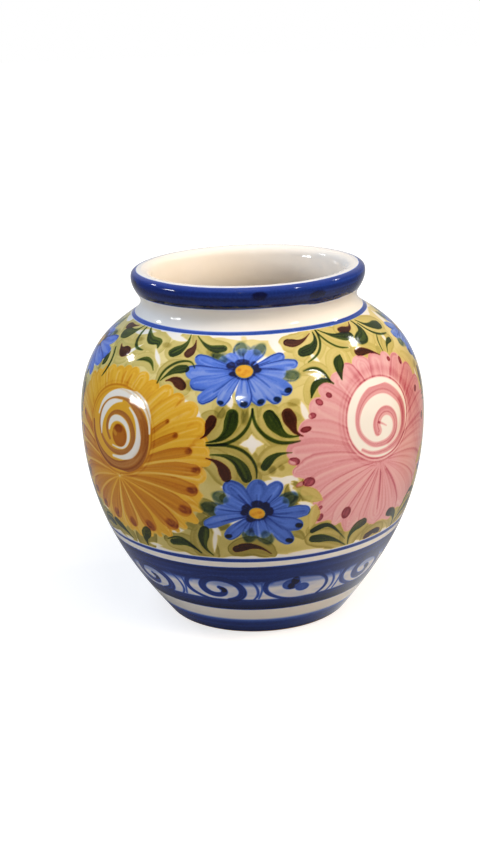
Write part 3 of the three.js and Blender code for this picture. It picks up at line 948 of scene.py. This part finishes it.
# %% Paint the daisies
def daisy(centre, mirror, middle, tone, edging, yolk, petals, touches, wobble):
    """One daisy; a mirrored one has its petals the other way round."""
    at, halo = disc(centre, (mirror * middle[0], middle[1]), 17, 12, edge=3)
    wipe(("wash", "leaf"), halo, at)
    for x1, s1, width, end in sorted(petals, key=lambda p: -p[1]):
        tip = np.array([mirror * x1, s1]) + rng.uniform(-1, 1, 2) * wobble
        heart = np.array([mirror * middle[0], middle[1]])
        way = tip - heart
        length, towards = math.hypot(*way), math.degrees(math.atan2(way[1], way[0]))
        root = heart + 0.14 * way
        path = bow(root, towards, 0.86 * length - 0.4 * width, rng.uniform(-0.05, 0.05))
        green = end == "green"
        cleared = GREEN_FROM if green else BOW_PLACES
        lift(("wash", "leaf"), centre, path[:cleared], width, "petal", fade=0.8)
        stroke("cobalt", centre, path[: BOW_PLACES - green], width, "petal",
               tone * rng.uniform(0.92, 1.08), streaks=0.2, rim=0.03,
               side=rng.choice([-1, 1]) * edging, root=0.16, tip=-0.3 if green else 0.04,
               covers=0.95, fade=1.3 if green else 0.7)
        for _ in range(2):
            thin = path + rng.uniform(-0.28, 0.28) * width * np.array([-way[1], way[0]]) / length
            stroke("cobalt", centre, thin[:12], 0.9, "liner", rng.uniform(0.08, 0.16), streaks=0,
                   rim=0, fade=0.9)
        if end == "dark":
            spot = path[-1] + 0.16 * width * way / length
            dot("cobalt", centre, *spot, 0.46 * width, 0.32 * width, 0.42, tilt=rng.uniform(-30, 30),
                fade=0.9)
            dot("leaf", centre, *spot, 0.4 * width, 0.28 * width, 0.30, fade=1.2)
        if green:
            spot = path[-2]
            dot("cobalt", centre, *spot, 0.5 * width, 0.9 * width, 0.15, rim=0.08, tilt=towards - 90,
                fade=1.8)
            dot("leaf", centre, *spot, 0.6 * width, 1.0 * width, 0.22, rim=0.12, tilt=towards - 90,
                fade=1.5)
    for x0, s0, across, along, tilt in touches:
        dot("cobalt", centre, mirror * x0, s0, across, along, 0.40, rim=0.12, tilt=mirror * tilt,
            fade=0.9)
    across, along, tilt = yolk
    dot("cobalt", centre, mirror * middle[0], middle[1], across + 2.6, along + 2.4, 0.22, fade=1.2)
    for oxide in ("cobalt", "wash"):
        dot(oxide, centre, mirror * middle[0], middle[1], across, along, 0, rim=0, covers=1,
            tilt=tilt, fade=0.8)
    dot("yellow", centre, mirror * middle[0], middle[1], across, along, 0.60, rim=0.10, tilt=tilt,
        fade=0.8)
    for _ in range(7):
        dot("ochre", centre, mirror * middle[0] + rng.uniform(-0.35, 0.35) * across,
            middle[1] + rng.uniform(-0.4, 0.2) * along, rng.uniform(1.2, 3), rng.uniform(1, 2), 0.10,
            fade=0.9)


for number, centre in enumerate(DAISIES):
    daisy(centre, MIRRORS[number], wobble=bool(number), **UPPER)
    daisy(centre, MIRRORS[number], wobble=bool(number), **LOWER)
print("eight daisies done")

# %% [markdown]
# ## Leaves, buds and stems
# The darkest marks come last on a pot, because nothing can cover them.

# %% Paint the sprigs
for kind, width, centre, path in marks:
    shape = {"stem": "liner", "hook": "hook"}.get(kind, "comma")
    if kind == "bud":
        stroke("manganese", centre, path, width, shape, 0.74, streaks=0.12, rim=0.10, covers=0.5)
    elif kind == "stem":
        stroke("leaf", centre, path, width, shape, 0.72, streaks=0.05, rim=0.0, fade=0.7)
    else:
        stroke("leaf", centre, path, width, shape, rng.uniform(0.66, 0.80), streaks=0.2, rim=0.08,
               tip=0.05, covers=0.5)
for centre, mirror in zip(DAISIES, MIRRORS):
    for points, width in ((((20.5, 113), (26, 110.5), (31, 107), (36, 104)), 8),
                          (((29, 87), (31, 93), (32.5, 101)), 7)):
        path = line(*points) * (mirror, 1)
        lift(("pink",), centre, path, width, "hook", 0.9)
        stroke("wash", centre, path, width, "hook", 0.50, streaks=0.12, rim=0.16, covers=1)
print("sprigs done")

# %% [markdown]
# ## Bands on the wheel
# For the bands the pot turns on a wheel and the brush stands still, so they run
# true all round, with long streaks and a little wander. The lip is painted the
# same way; where the brush was set down and lifted, the cobalt lies double.


# %% Paint the bands
def band(oxide, low, high, tone, fade_low=0.5, fade_high=0.5, wander=0.25):
    """A band between two places up the outline; tone may change from place to place."""
    low = low + wander * cloud(50, 400)[:1]
    high = high + wander * cloud(50, 400)[:1]
    cover = soft((s_all - low) / fade_low + 0.5) * soft((high - s_all) / fade_high + 0.5)
    paint[oxide] *= 1 - cover
    paint[oxide] += (cover * tone).astype(np.float32)


def wheel_streaks(thick):
    """Streaks that run far round the pot and are `thick` mm high."""
    return cloud(110, thick)


# in mm up the outline
FOOT_TOP, BORDER, LINE_LOW, LINE_HIGH = 13.4, (24.3, 62.7), (66.7, 68.9), (201.0, 203.4)
LIP = (217.0, 231.1)
SAGS = (40, 214)  # degrees round the pot: where the cobalt of the lip ran down a little
DOUBLE = (  # places on the lip where the cobalt lies double: degrees, s, and width in mm
    (5, 225.2, 8), (34, 222.4, 10), (128, 224, 9), (205, 222.6, 8), (288, 224.6, 9),
)
IMPURE = 0.13  # of manganese in the cobalt of the border, which turns it towards ink
foot_tone = 0.78 + 0.05 * wheel_streaks(2.0) - 0.20 * soft((s_all - 8) / 6) + 0.1 * soft(1 - s_all / 5)
band("cobalt", -5, FOOT_TOP, foot_tone, fade_high=2.8)
in_border = (s_all - BORDER[0]) / (BORDER[1] - BORDER[0])
border_tone = (
    0.78
    + 0.07 * wheel_streaks(1.6)
    + 0.03 * wheel_streaks(0.8)
    + 0.16 * soft(1 - in_border / 0.25)
    + 0.06 * soft((in_border - 0.88) / 0.1)
)
band("cobalt", *BORDER, border_tone, wander=0.35)
paint["manganese"] += IMPURE * soft((s_all - BORDER[0]) / 1.5) * soft((BORDER[1] - s_all) / 1.5)
band("cobalt", *LINE_LOW, 0.78 + 0.05 * wheel_streaks(1), wander=0.3)
band("cobalt", *LINE_HIGH, 0.72 + 0.06 * wheel_streaks(1), wander=0.35)
in_lip = (s_all - LIP[0]) / (LIP[1] - LIP[0])
# The lip's cobalt has the streaks of the wheel, and is paler towards the top of the roll and deeper
# under it: painted light on the top and painted shade below.
lip_tone_and_shading = 0.94 - 0.17 * soft((in_lip - 0.35) / 0.5) + 0.08 * wheel_streaks(1.0)
sag = sum(soft(1.4 * (1 - np.abs(turn - math.radians(a)) / math.radians(15))) for a in SAGS)[None, :]
band("cobalt", LIP[0] - 0.9 * sag * (1 + 0.5 * cloud(9, 400)[:1]), LIP[1], lip_tone_and_shading, wander=0.5)
for angle, s0, wide in DOUBLE:
    dot("cobalt", math.radians(angle), 0, s0, wide, 4.4, 0.2, rim=-0.05, fade=1.2)
print("bands done; the border is", round(BORDER[1] - BORDER[0], 1), "mm high")

# %% [markdown]
# ## The running scroll
# In the dark border the painter wipes out a pale belt with a damp brush and draws
# a cobalt scroll into each of eleven windows: it starts at a round end and winds
# outward until it runs into the ground. A few windows hold a blot instead.

# %% Measures of the scroll
WINDOWS = 11
FIRST_WINDOW = -16.9  # degrees round the pot from the front
MIDDLE = 43.5  # mm up the outline, the middle of the windows
BELOW, ABOVE = 9.4, 7.6  # mm from there to the edges of the belt
SCROLL = [  # x and height from the middle of the window, and width
    (1.6, 1.4, 2.4), (3.9, -0.6, 3.6), (3.2, -3.8, 4.2), (-1.4, -5.4, 4.2), (-6.4, -2.9, 4.6),
    (-8.4, 2, 4.8), (-6, 6.6, 4.4), (0, 8.8, 4), (8, 7.2, 4.2), (13, 2.8, 4.6), (14.2, -2.4, 4.6),
    (12, -7, 4.4), (6, -10.2, 4),
]
LEFT_RING = [
    (-5, 12.8, 2), (-13, 10, 2.6), (-17.8, 4.4, 3), (-17.4, -1.6, 3), (-13, -6.4, 2.6),
    (-7, -9.4, 2), (0, -11, 1.6),
]
RIGHT_ARC = [(17.5, 9.5, 1), (21.4, 5, 1.5), (22.8, -1, 1.6), (21.4, -6.4, 1.4), (19, -9.6, 1)]
SIDE_ARC = [(-21, 6.4, 1), (-19.8, 0, 1.3), (-20.6, -8.4, 1.2)]
BLOT_RING = [
    (2, 10.4, 3), (10, 8.4, 2.4), (15.4, 5.2, 2), (18, 0, 2), (16.6, -5.6, 2), (13, -9.6, 1.6),
]
print("a window every", round(360 / WINDOWS, 1), "degrees")

# %% Wipe the belt and draw the scrolls
belt_low = MIDDLE - BELOW + 0.5 * cloud(30, 400)[:1]
belt_high = MIDDLE + ABOVE + 0.8 * cloud(24, 400)[:1]
belt = soft((s_all - belt_low) / 1.6 + 0.5) * soft((belt_high + 1 - s_all) / 7.0)
for oxide in ("cobalt", "manganese"):
    paint[oxide] *= 1 - belt * (0.90 + 0.07 * cloud(6, 2))


def scroll(centre, kind):
    """One window: rings first, then the scroll or the blot."""
    sway = rng.uniform(-0.5, 0.5)

    def draw(places, tone, fade=0.7):
        path, widths = tapered(*places)
        path += (0, MIDDLE + sway)
        stroke("cobalt", centre, path, 1, widths, tone, streaks=0.1, rim=0.03, covers=0.95, fade=fade)

    top = bow((-13, MIDDLE + sway + 6.6), 0, 26, 0.05)
    lift(("cobalt",), centre, top - (0, 1.8), 4, "dab", 0.5, fade=2.5)
    draw(LEFT_RING, 0.74)
    draw(RIGHT_ARC, 0.66)
    draw(SIDE_ARC, 0.62)
    if kind == "scroll":
        draw(SCROLL, 0.78, 1.0)
        dot("cobalt", centre, 3.4, MIDDLE + sway - 0.6, 4.4, 4.6, 0.2)
    else:
        draw(BLOT_RING, 0.78)
        for dx, dy, wide, tall in ((-3.6, 2.4, 10.5, 9), (3, -1, 8, 7)):
            dot("cobalt", centre, dx, MIDDLE + sway + dy, wide, tall, 0.66, rim=0.06, covers=1,
                fade=0.8)
        for dx, dy, wide, tall, tilt in ((-1.6, 5.2, 4.8, 6.4, -10), (-3.6, 1, 3.8, 5, 10)):
            dot("cobalt", centre, dx, MIDDLE + sway + dy, wide, tall, 0.36, tilt=tilt, fade=1.0)


for k in range(WINDOWS):
    scroll(math.radians(FIRST_WINDOW + k * 360 / WINDOWS + rng.uniform(-1, 1) * bool(k > 1)),
           "blot" if k % 4 == 1 else "scroll")
for layer in paint.values():
    np.clip(layer, 0, 1, out=layer)
print("scrolls done")

# %% [markdown]
# ## Give the paint to the coat
# The outside coat is turned from the same rows and columns as the canvas, so
# each oxide can be stored as a number on every corner of its face. A material
# reads these numbers with Attribute nodes.

# %% Turn the painted coat
outside_hidden = upwards(hides["outside_glaze"])[::-1]
painted = turned("painted_glaze", np.vstack([outside, outside_hidden]), ROWS, COLUMNS)
count = len(painted.data.vertices)
for name, layer in paint.items():
    values = np.zeros(count, np.float32)
    values[: ROWS * COLUMNS] = layer.ravel()
    painted.data.attributes.new(name, "FLOAT", "POINT").data.foreach_set("value", values)
print("painted glaze:", count, "corners")

# %% [markdown]
# ## Colours
# Colours are written as the hex values that a screen shows and turned to linear
# light here, once, because the renderer counts in light.


# %% Hex to linear
def linear(code):
    """A six-digit sRGB hex colour as linear red, green and blue, with full alpha."""
    parts = [int(code[i : i + 2], 16) / 255 for i in (1, 3, 5)]
    return (*[c / 12.92 if c <= 0.04045 else ((c + 0.055) / 1.055) ** 2.4 for c in parts], 1.0)


print("cobalt in linear light:", [round(c, 3) for c in linear("#213F9E")[:3]])

# %% [markdown]
# ## Nodes
# A material is a net of nodes, such as noises, ramps and shaders. One small function
# adds any of them, so that a line of the lesson reads as one node with its settings
# and the links that lead into it.


# %% Nodes and new materials
def node(tree, kind, links=(), stops=(), **settings):
    """Adds one node with its settings, sets plain inputs and links the others.

    Keys that name an input set it; the rest are settings of the node. A link is
    (input, source socket), and stops are the evenly spaced hex colours of a ramp."""
    made = tree.nodes.new(kind)
    for key, value in settings.items():
        if hasattr(made, key):
            setattr(made, key, value)
        else:
            made.inputs[key.replace("_", " ")].default_value = value
    for target, source in links:
        tree.links.new(source, made.inputs[target])
    for _ in stops[2:]:  # a new ramp has two stops already
        made.color_ramp.elements.new(0.5)
    for k, code in enumerate(stops):
        made.color_ramp.elements[k].position = k / (len(stops) - 1)
        made.color_ramp.elements[k].color = linear(code)
    return made


def new_material(name):
    """A material without nodes, and its empty net of nodes."""
    made = bpy.data.materials.new(name)
    made.use_nodes = True
    made.node_tree.nodes.clear()
    return made, made.node_tree


def blotch(mm):
    """The Scale at which the blotches of a noise are this wide, as the scene is in metres."""
    return 1 / (mm * MM)


print("blotches 5 mm wide need a Scale of", round(blotch(5)))

# %% [markdown]
# ## The surface of a glaze
# Tin glaze is a glass, dipped on as a milk of ground frit and melted smooth. It
# gives the eye sharp bright reflections that swell a little, because a dipped coat
# is never quite even. Its IOR is that of glass. The pinholes of a real glaze are
# finer than a tenth of a millimetre, so here they are drawn 3 mm apart, as coarse
# as they need to be to show at all. Thick oxide stands up from the coat a little.

# %% Gloss and unevenness of a glaze
GLAZE_IOR = 1.5
GLAZE_ROUGHNESS = 0.09
SWELL, PINHOLES = 23.81, 3.03  # mm: how wide the swellings are, and how far apart the pinholes


def add_glaze_surface(tree, colour, raised=None):
    """Glossy glaze over a colour, with the faint unevenness of a dipped coat."""
    space = node(tree, "ShaderNodeTexCoord")
    wave = node(tree, "ShaderNodeTexNoise", Scale=blotch(SWELL), Detail=2.0, Roughness=0.45,
                links=[("Vector", space.outputs["Object"])])
    pores = node(tree, "ShaderNodeTexNoise", Scale=blotch(PINHOLES), Detail=3.0, Roughness=0.5,
                 links=[("Vector", space.outputs["Object"])])
    swell = node(tree, "ShaderNodeBump", Strength=0.35, Distance=0.0012,
                 links=[("Height", wave.outputs["Fac"])])
    skin = node(tree, "ShaderNodeBump", Strength=0.10, Distance=0.0002,
                links=[("Height", pores.outputs["Fac"]), ("Normal", swell.outputs["Normal"])])
    top = skin
    if raised is not None:
        top = node(tree, "ShaderNodeBump", Strength=0.35, Distance=0.00012,
                   links=[("Height", raised), ("Normal", skin.outputs["Normal"])])
    shine = node(tree, "ShaderNodeMapRange", To_Min=GLAZE_ROUGHNESS - 0.03,
                 To_Max=GLAZE_ROUGHNESS + 0.03, links=[("Value", pores.outputs["Fac"])])
    shader = node(tree, "ShaderNodeBsdfPrincipled", IOR=GLAZE_IOR,
                  links=[("Base Color", colour), ("Normal", top.outputs["Normal"]),
                         ("Roughness", shine.outputs["Result"])])
    node(tree, "ShaderNodeOutputMaterial", links=[("Surface", shader.outputs["BSDF"])])
    return shader


print("glaze: IOR", GLAZE_IOR, "and roughness", GLAZE_ROUGHNESS)

# %% [markdown]
# ## The painted tin glaze
# The real surface is white tin glaze with oxides melted into it. An oxide only
# takes light away, so thin cobalt is sky blue and thick cobalt almost black. Each
# oxide gets a ramp from white to its thickest colour, and the ramps are multiplied
# over the white, which also mixes blue over olive to dark green, as in the kiln.
# Ground oxide settles in flocks about a millimetre wide, so no stroke is quite even.

# %% Painted glaze material
RAMPS = {
    "cobalt": ("#FFFFFF", "#A2BCFA", "#557EEA", "#213F9E", "#090F40"),
    "wash": ("#FFFFFF", "#F1E3A0", "#D3C474", "#A99A48", "#77702F"),
    "leaf": ("#FFFFFF", "#B9C79C", "#6E8A4E", "#34502E", "#16241A"),
    "manganese": ("#FFFFFF", "#D9BBAE", "#96625C", "#542A30", "#2A1216"),
    "yellow": ("#FFFFFF", "#FBDF8C", "#F3BF3A", "#DE9A1A", "#B87414"),
    "ochre": ("#FFFFFF", "#EFD5AC", "#CF9C5C", "#965A24", "#572B10"),
    "pink": ("#FFFFFF", "#F7D2D5", "#E9A8B2", "#C86274", "#8C3A4E"),
}
TIN_WHITE = "#EEEAE2"
RAISED = ("cobalt", "leaf", "manganese", "ochre")  # laid thickly, so they stand up from the coat
WHITE_BLOTCH, GRAIN = 45.45, 1.111  # mm: blotches of the white, and flocks of oxide

painted_glaze, tree = new_material("painted_tin_glaze")
space = node(tree, "ShaderNodeTexCoord")
blush = node(tree, "ShaderNodeTexNoise", Scale=blotch(WHITE_BLOTCH), Detail=3.0, Roughness=0.6,
             links=[("Vector", space.outputs["Object"])])
white = node(tree, "ShaderNodeValToRGB", stops=("#E8E3D9", TIN_WHITE, "#F2EFE8"),
             links=[("Fac", blush.outputs["Fac"])])
grain = node(tree, "ShaderNodeTexNoise", Scale=blotch(GRAIN), Detail=2.0, Roughness=0.7,
             links=[("Vector", space.outputs["Object"])])
thick = node(tree, "ShaderNodeMapRange", To_Min=0.90, To_Max=1.10,
             links=[("Value", grain.outputs["Fac"])])
colour = white.outputs["Color"]
raised = None
for name in OXIDES:
    amount = node(tree, "ShaderNodeAttribute", attribute_name=name)
    grainy = node(tree, "ShaderNodeMath", operation="MULTIPLY",
                  links=[(0, amount.outputs["Fac"]), (1, thick.outputs["Result"])])
    tint = node(tree, "ShaderNodeValToRGB", stops=RAMPS[name],
                links=[("Fac", grainy.outputs["Value"])])
    mix = node(tree, "ShaderNodeMix", data_type="RGBA", blend_type="MULTIPLY", Factor=1.0,
               links=[("A", colour), ("B", tint.outputs["Color"])])
    colour = mix.outputs["Result"]
    if name in RAISED:
        if raised is None:
            raised = amount.outputs["Fac"]
        else:
            raised = node(tree, "ShaderNodeMath", operation="MAXIMUM",
                          links=[(0, raised), (1, amount.outputs["Fac"])]).outputs["Value"]
add_glaze_surface(tree, colour, raised)
painted.data.materials.append(painted_glaze)
print("painted glaze:", len(tree.nodes), "nodes")

# %% [markdown]
# ## Plain white glaze
# Inside, the glaze was poured in. It is given a paler, warmer white than the
# outside, as painted light that brightens the inside of the pot. The throwing
# rings show through it as faint ridges, 14 mm apart.

# %% White glaze material
INSIDE_BLOTCH, THROWING_RINGS = 38.46, 14.28  # mm
white_glaze, tree = new_material("white_tin_glaze")
space = node(tree, "ShaderNodeTexCoord")
blush = node(tree, "ShaderNodeTexNoise", Scale=blotch(INSIDE_BLOTCH), Detail=3.0, Roughness=0.6,
             links=[("Vector", space.outputs["Object"])])
# paler and warmer than the outside white: painted light for the inside of the pot
white = node(tree, "ShaderNodeValToRGB", stops=("#F4E9D8", "#F8EFE1", "#FBF4EA"),
             links=[("Fac", blush.outputs["Fac"])])
wave_scale = blotch(THROWING_RINGS) * math.pi / 10  # at a Scale of 1, bands are pi / 10 m apart
rings = node(tree, "ShaderNodeTexWave", wave_type="BANDS", bands_direction="Z", Scale=wave_scale,
             Distortion=1.5, links=[("Vector", space.outputs["Object"])])
add_glaze_surface(tree, white.outputs["Color"], rings.outputs["Fac"])
for shell in (inside_white, base_white):
    shell.data.materials.append(white_glaze)
print("white glaze:", len(tree.nodes), "nodes")

# %% [markdown]
# ## Fired earthenware
# The bare ring is red clay, thrown, wiped with a wet sponge and fired to a pale
# orange. Without glaze it is matt and sandy: it scatters light evenly, and shows
# soft clouds of colour some 6 mm wide and a grit of less than a millimetre.

# %% Earthenware material
CLOUDS, GRIT = 5.556, 0.7143  # mm
terracotta, tree = new_material("fired_earthenware")
space = node(tree, "ShaderNodeTexCoord")
clouds = node(tree, "ShaderNodeTexNoise", Scale=blotch(CLOUDS), Detail=6.0, Roughness=0.7,
              links=[("Vector", space.outputs["Object"])])
colour = node(tree, "ShaderNodeValToRGB", stops=("#B98A66", "#D3A883", "#E2BF9E"),
              links=[("Fac", clouds.outputs["Fac"])])
grit = node(tree, "ShaderNodeTexNoise", Scale=blotch(GRIT), Detail=2.0,
            links=[("Vector", space.outputs["Object"])])
bump = node(tree, "ShaderNodeBump", Strength=0.5, Distance=0.0003,
            links=[("Height", grit.outputs["Fac"])])
shader = node(tree, "ShaderNodeBsdfPrincipled", Roughness=0.85, IOR=1.5,
              links=[("Base Color", colour.outputs["Color"]), ("Normal", bump.outputs["Normal"])])
node(tree, "ShaderNodeOutputMaterial", links=[("Surface", shader.outputs["BSDF"])])
fired_clay.data.materials.append(terracotta)
print("earthenware:", len(tree.nodes), "nodes")

# %% [markdown]
# ## Hand the shells over
# Each shell moves with the vase and takes the place of the plain solid of the same
# name.

# %% Ride and replace
for shell, cad, slot in (
    (painted, "outside_glaze", "painted_glaze"),
    (inside_white, "inside_glaze", "white_glaze"),
    (base_white, "base_glaze", "white_glaze"),
    (fired_clay, "clay_body", "biscuit"),
):
    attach(shell, "root")
    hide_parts(cad)
print("four shells ride on the root")

# %% [markdown]
# ## The stage
# A pale floor carries the soft shadow, and the room round it is white to the
# camera, in reflections and through anything clear. Light Path tells these rays
# from the others, so the white shows in the gloss but doesn't light the colours.
# The floor glows more with distance, so that it meets the white room without an
# edge.

# %% Which rays see the room
def straight_rays(tree):
    """1 for rays that show the room itself: to the camera, in a gloss or through glass."""
    seen = node(tree, "ShaderNodeLightPath")
    two = node(tree, "ShaderNodeMath", operation="ADD", use_clamp=True,
               links=[(0, seen.outputs["Is Camera Ray"]), (1, seen.outputs["Is Glossy Ray"])])
    return node(tree, "ShaderNodeMath", operation="ADD", use_clamp=True,
                links=[(0, two.outputs["Value"]),
                       (1, seen.outputs["Is Transmission Ray"])]).outputs["Value"]


print("camera, glossy and transmission rays see the room as white")

# %% The floor
SIDE = 6.0  # m, half of the floor's width
GLOW_NEAR, GLOW_FAR = (0.25, 0.70), (2.2, 1.0)  # m from the pot, and how strongly the floor glows
floor_mesh = bpy.data.meshes.new("floor")
floor_mesh.from_pydata([(-SIDE, -SIDE, 0), (SIDE, -SIDE, 0), (SIDE, SIDE, 0), (-SIDE, SIDE, 0)], [],
                       [(0, 1, 2, 3)])
floor = bpy.data.objects.new("floor", floor_mesh)
bpy.context.scene.collection.objects.link(floor)
pale, tree = new_material("pale_floor")
matt = node(tree, "ShaderNodeBsdfDiffuse", Color=linear("#BCB7B0"))
space = node(tree, "ShaderNodeTexCoord")
away = node(tree, "ShaderNodeVectorMath", operation="LENGTH", links=[(0, space.outputs["Object"])])
paler = node(tree, "ShaderNodeMapRange", From_Min=GLOW_NEAR[0], From_Max=GLOW_FAR[0],
             To_Min=GLOW_NEAR[1], To_Max=GLOW_FAR[1], links=[("Value", away.outputs["Value"])])
glow = node(tree, "ShaderNodeEmission", Color=linear("#FFFFFF"),
            links=[("Strength", paler.outputs["Result"])])
both = node(tree, "ShaderNodeAddShader",
            links=[(0, matt.outputs["BSDF"]), (1, glow.outputs["Emission"])])
mix = node(tree, "ShaderNodeMixShader",
           links=[("Fac", straight_rays(tree)), (1, matt.outputs["BSDF"]),
                  (2, both.outputs["Shader"])])
node(tree, "ShaderNodeOutputMaterial", links=[("Surface", mix.outputs["Shader"])])
floor_mesh.materials.append(pale)
print("floor:", 2 * SIDE, "m wide")

# %% The world
world = bpy.data.worlds.new("room")
bpy.context.scene.world = world
world.use_nodes = True
tree = world.node_tree
tree.nodes.clear()
daylight = node(tree, "ShaderNodeBackground", Color=linear("#E6EDF8"), Strength=0.25)
open_white = node(tree, "ShaderNodeBackground", Color=linear("#FFFFFF"), Strength=1.0)
final = node(tree, "ShaderNodeMixShader",
             links=[("Fac", straight_rays(tree)), (1, daylight.outputs["Background"]),
                    (2, open_white.outputs["Background"])])
node(tree, "ShaderNodeOutputWorld", links=[("Surface", final.outputs["Shader"])])
print("world:", len(tree.nodes), "nodes")

# %% [markdown]
# A glossy pot in a white tent looks milky. Photographers stand dark cards round
# it, outside the picture, so that deep colours stay deep. Here the card runs over
# the floor and up all round, and only reflections can see it. It is no lamp, yet it
# glows by itself, as a painted reflection of the room: the glow pales towards its
# top and behind the pot, so that it leaves no edge on the glaze, and is brightest
# on the floor right of the pot, as painted light where the key light would fall.

# %% Where the card runs and how bright it is
ABOVE_FLOOR = 0.0004  # m
# The glow of the card is painted light: dim where the room would be dark, and brighter on the right,
# where the key light would fall on the floor.
CARD = (  # radius and height in m, how bright it is, and how much brighter on the right
    (0.053, ABOVE_FLOOR, 0.10, 0.6),
    (0.09, ABOVE_FLOOR, 0.22, 0.6),
    (0.16, ABOVE_FLOOR, 0.30, 0.5),
    (0.3, ABOVE_FLOOR, 0.26, 0.3),
    (0.8, ABOVE_FLOOR, 0.15, 0),
    (1.4, ABOVE_FLOOR, 0.09, 0),
    (1.5, 0.3, 0.09, 0),
    (1.5, 0.9, 0.14, 0),
    (1.5, 1.5, 0.22, 0),
    (1.4, 2.1, 0.32, 0),
    (1.0, 2.7, 0.42, 0),
    (0.4, 3.0, 0.5, 0),
)
SPREAD = np.linspace(-180, 180, 73)  # degrees round the pot, from the front
# where the card's painted glow stands in for the floor lit by the key light
RIGHT, RIGHT_WIDTH = 75, 36  # degrees: where the floor shines most, and how far round
BEHIND, BEHIND_WIDTH, BEHIND_GLOW = 118, 60, 0.4  # the card pales behind the pot


def painted_card_glow(bright, more, angle):
    """How brightly the card glows at an angle round the pot, as a painted reflection."""
    on_right = math.exp(-(((angle - RIGHT) / RIGHT_WIDTH) ** 2))
    return bright + more * on_right + BEHIND_GLOW * soft((abs(angle) - BEHIND) / BEHIND_WIDTH)


print("card:", len(CARD), "rings of", len(SPREAD), "places")

# %% The dark card
places, glows = [], []
for r, z, bright, more in CARD:
    for angle in SPREAD:
        a = math.radians(angle)
        places.append((r * math.sin(a), -r * math.cos(a), z))
        glows.append(painted_card_glow(bright, more, angle))
wide = len(SPREAD)
squares = [
    (k * wide + j, k * wide + j + 1, (k + 1) * wide + j + 1, (k + 1) * wide + j)
    for k in range(len(CARD) - 1)
    for j in range(wide - 1)
]
card_mesh = bpy.data.meshes.new("dark_card")
card_mesh.from_pydata(places, [], squares)
glow_layer = card_mesh.attributes.new("glow", "FLOAT", "POINT")
glow_layer.data.foreach_set("value", np.array(glows, np.float32))
card = bpy.data.objects.new("dark_card", card_mesh)
bpy.context.scene.collection.objects.link(card)
card.visible_camera = card.visible_diffuse = card.visible_shadow = card.visible_transmission = False
dark, tree = new_material("dark_card")
glow = node(tree, "ShaderNodeAttribute", attribute_name="glow")
# the card glows by itself, though it is no lamp: painted light that only reflections see
shine = node(tree, "ShaderNodeEmission", Strength=1.0, links=[("Color", glow.outputs["Color"])])
node(tree, "ShaderNodeOutputMaterial", links=[("Surface", shine.outputs["Emission"])])
card_mesh.materials.append(dark)
print("dark card:", len(squares), "faces")

# %% [markdown]
# ## Light
# A warm key stands high on the right, a cool fill on the left, and a few small
# lamps make the crisp highlights that tell the eye this is glaze. The big lamps
# stay out of the reflections, where each would show as a white square. A lamp is
# placed by the direction in which it stands from the pot.

# %% Lamps
AIM = Vector((0, 0, 0.12))
LAMPS = {
    # name: azimuth from the front, elevation, distance m, width m, height m, watts, colour
    "key": (62, 41, 2.6, 1.4, 1.4, 52, "#FFE8CC"),
    "fill": (-86, 58, 2.8, 1.6, 1.2, 27, "#A6CCFF"),
    "top": (14, 62, 2.4, 1.0, 1.0, 15, "#FFFAF2"),
    "lamp_left": (-80, 13, 1.2, 0.28, 0.09, 2.6, "#FFFFFF"),
    "lamp_left_high": (-116, 33, 1.2, 0.12, 0.08, 1.2, "#FFFFFF"),
    "lamp_right": (56, 46, 1.2, 0.09, 0.09, 1.2, "#FFFFFF"),
    "lamp_right_back": (120, 43, 1.2, 0.12, 0.06, 1.2, "#FFFFFF"),
    "lamp_front": (-8, 33, 1.2, 0.05, 0.05, 0.5, "#FFFFFF"),
}
for name, (azimuth, elevation, away, wide, high, watts, code) in LAMPS.items():
    light = bpy.data.lights.new(name, "AREA")
    light.shape = "RECTANGLE"
    light.size, light.size_y = wide, high
    light.energy = watts
    light.color = linear(code)[:3]
    a, e = math.radians(azimuth), math.radians(elevation)
    way = Vector((math.sin(a) * math.cos(e), -math.cos(a) * math.cos(e), math.sin(e)))
    lamp = bpy.data.objects.new(name, light)
    lamp.location = AIM + way * away
    lamp.rotation_euler = (-way).to_track_quat("-Z", "Y").to_euler()
    lamp.visible_glossy = name.startswith("lamp")
    bpy.context.scene.collection.objects.link(lamp)
print(len(LAMPS), "lamps")

# %% [markdown]
# ## The camera
# It stands a little above the pot and looks down at it, close enough that the
# far side of the mouth looks smaller. The numbers come from fitting the outline
# to the picture.

# %% Camera
EYE = Vector((0, -0.826, 0.3642))  # m
LENS = 61.93  # mm
PITCH, YAW, ROLL = (math.radians(a) for a in (17.251, -0.531, 2.102))
forward = Vector((math.sin(YAW) * math.cos(PITCH), math.cos(YAW) * math.cos(PITCH), -math.sin(PITCH)))
level = Vector((math.cos(YAW), -math.sin(YAW), 0))
upright = level.cross(forward)
across = math.cos(ROLL) * level - math.sin(ROLL) * upright
up = math.sin(ROLL) * level + math.cos(ROLL) * upright
camera = bpy.data.objects.new("camera", bpy.data.cameras.new("camera"))
camera.data.lens = LENS
camera.matrix_world = Matrix(
    [[across[k], up[k], -forward[k], EYE[k]] for k in range(3)] + [[0, 0, 0, 1]]
)
bpy.context.scene.collection.objects.link(camera)
bpy.context.scene.camera = camera
bpy.context.scene.view_settings.view_transform = "Standard"
print("camera", round((EYE - AIM).length, 2), "m away")
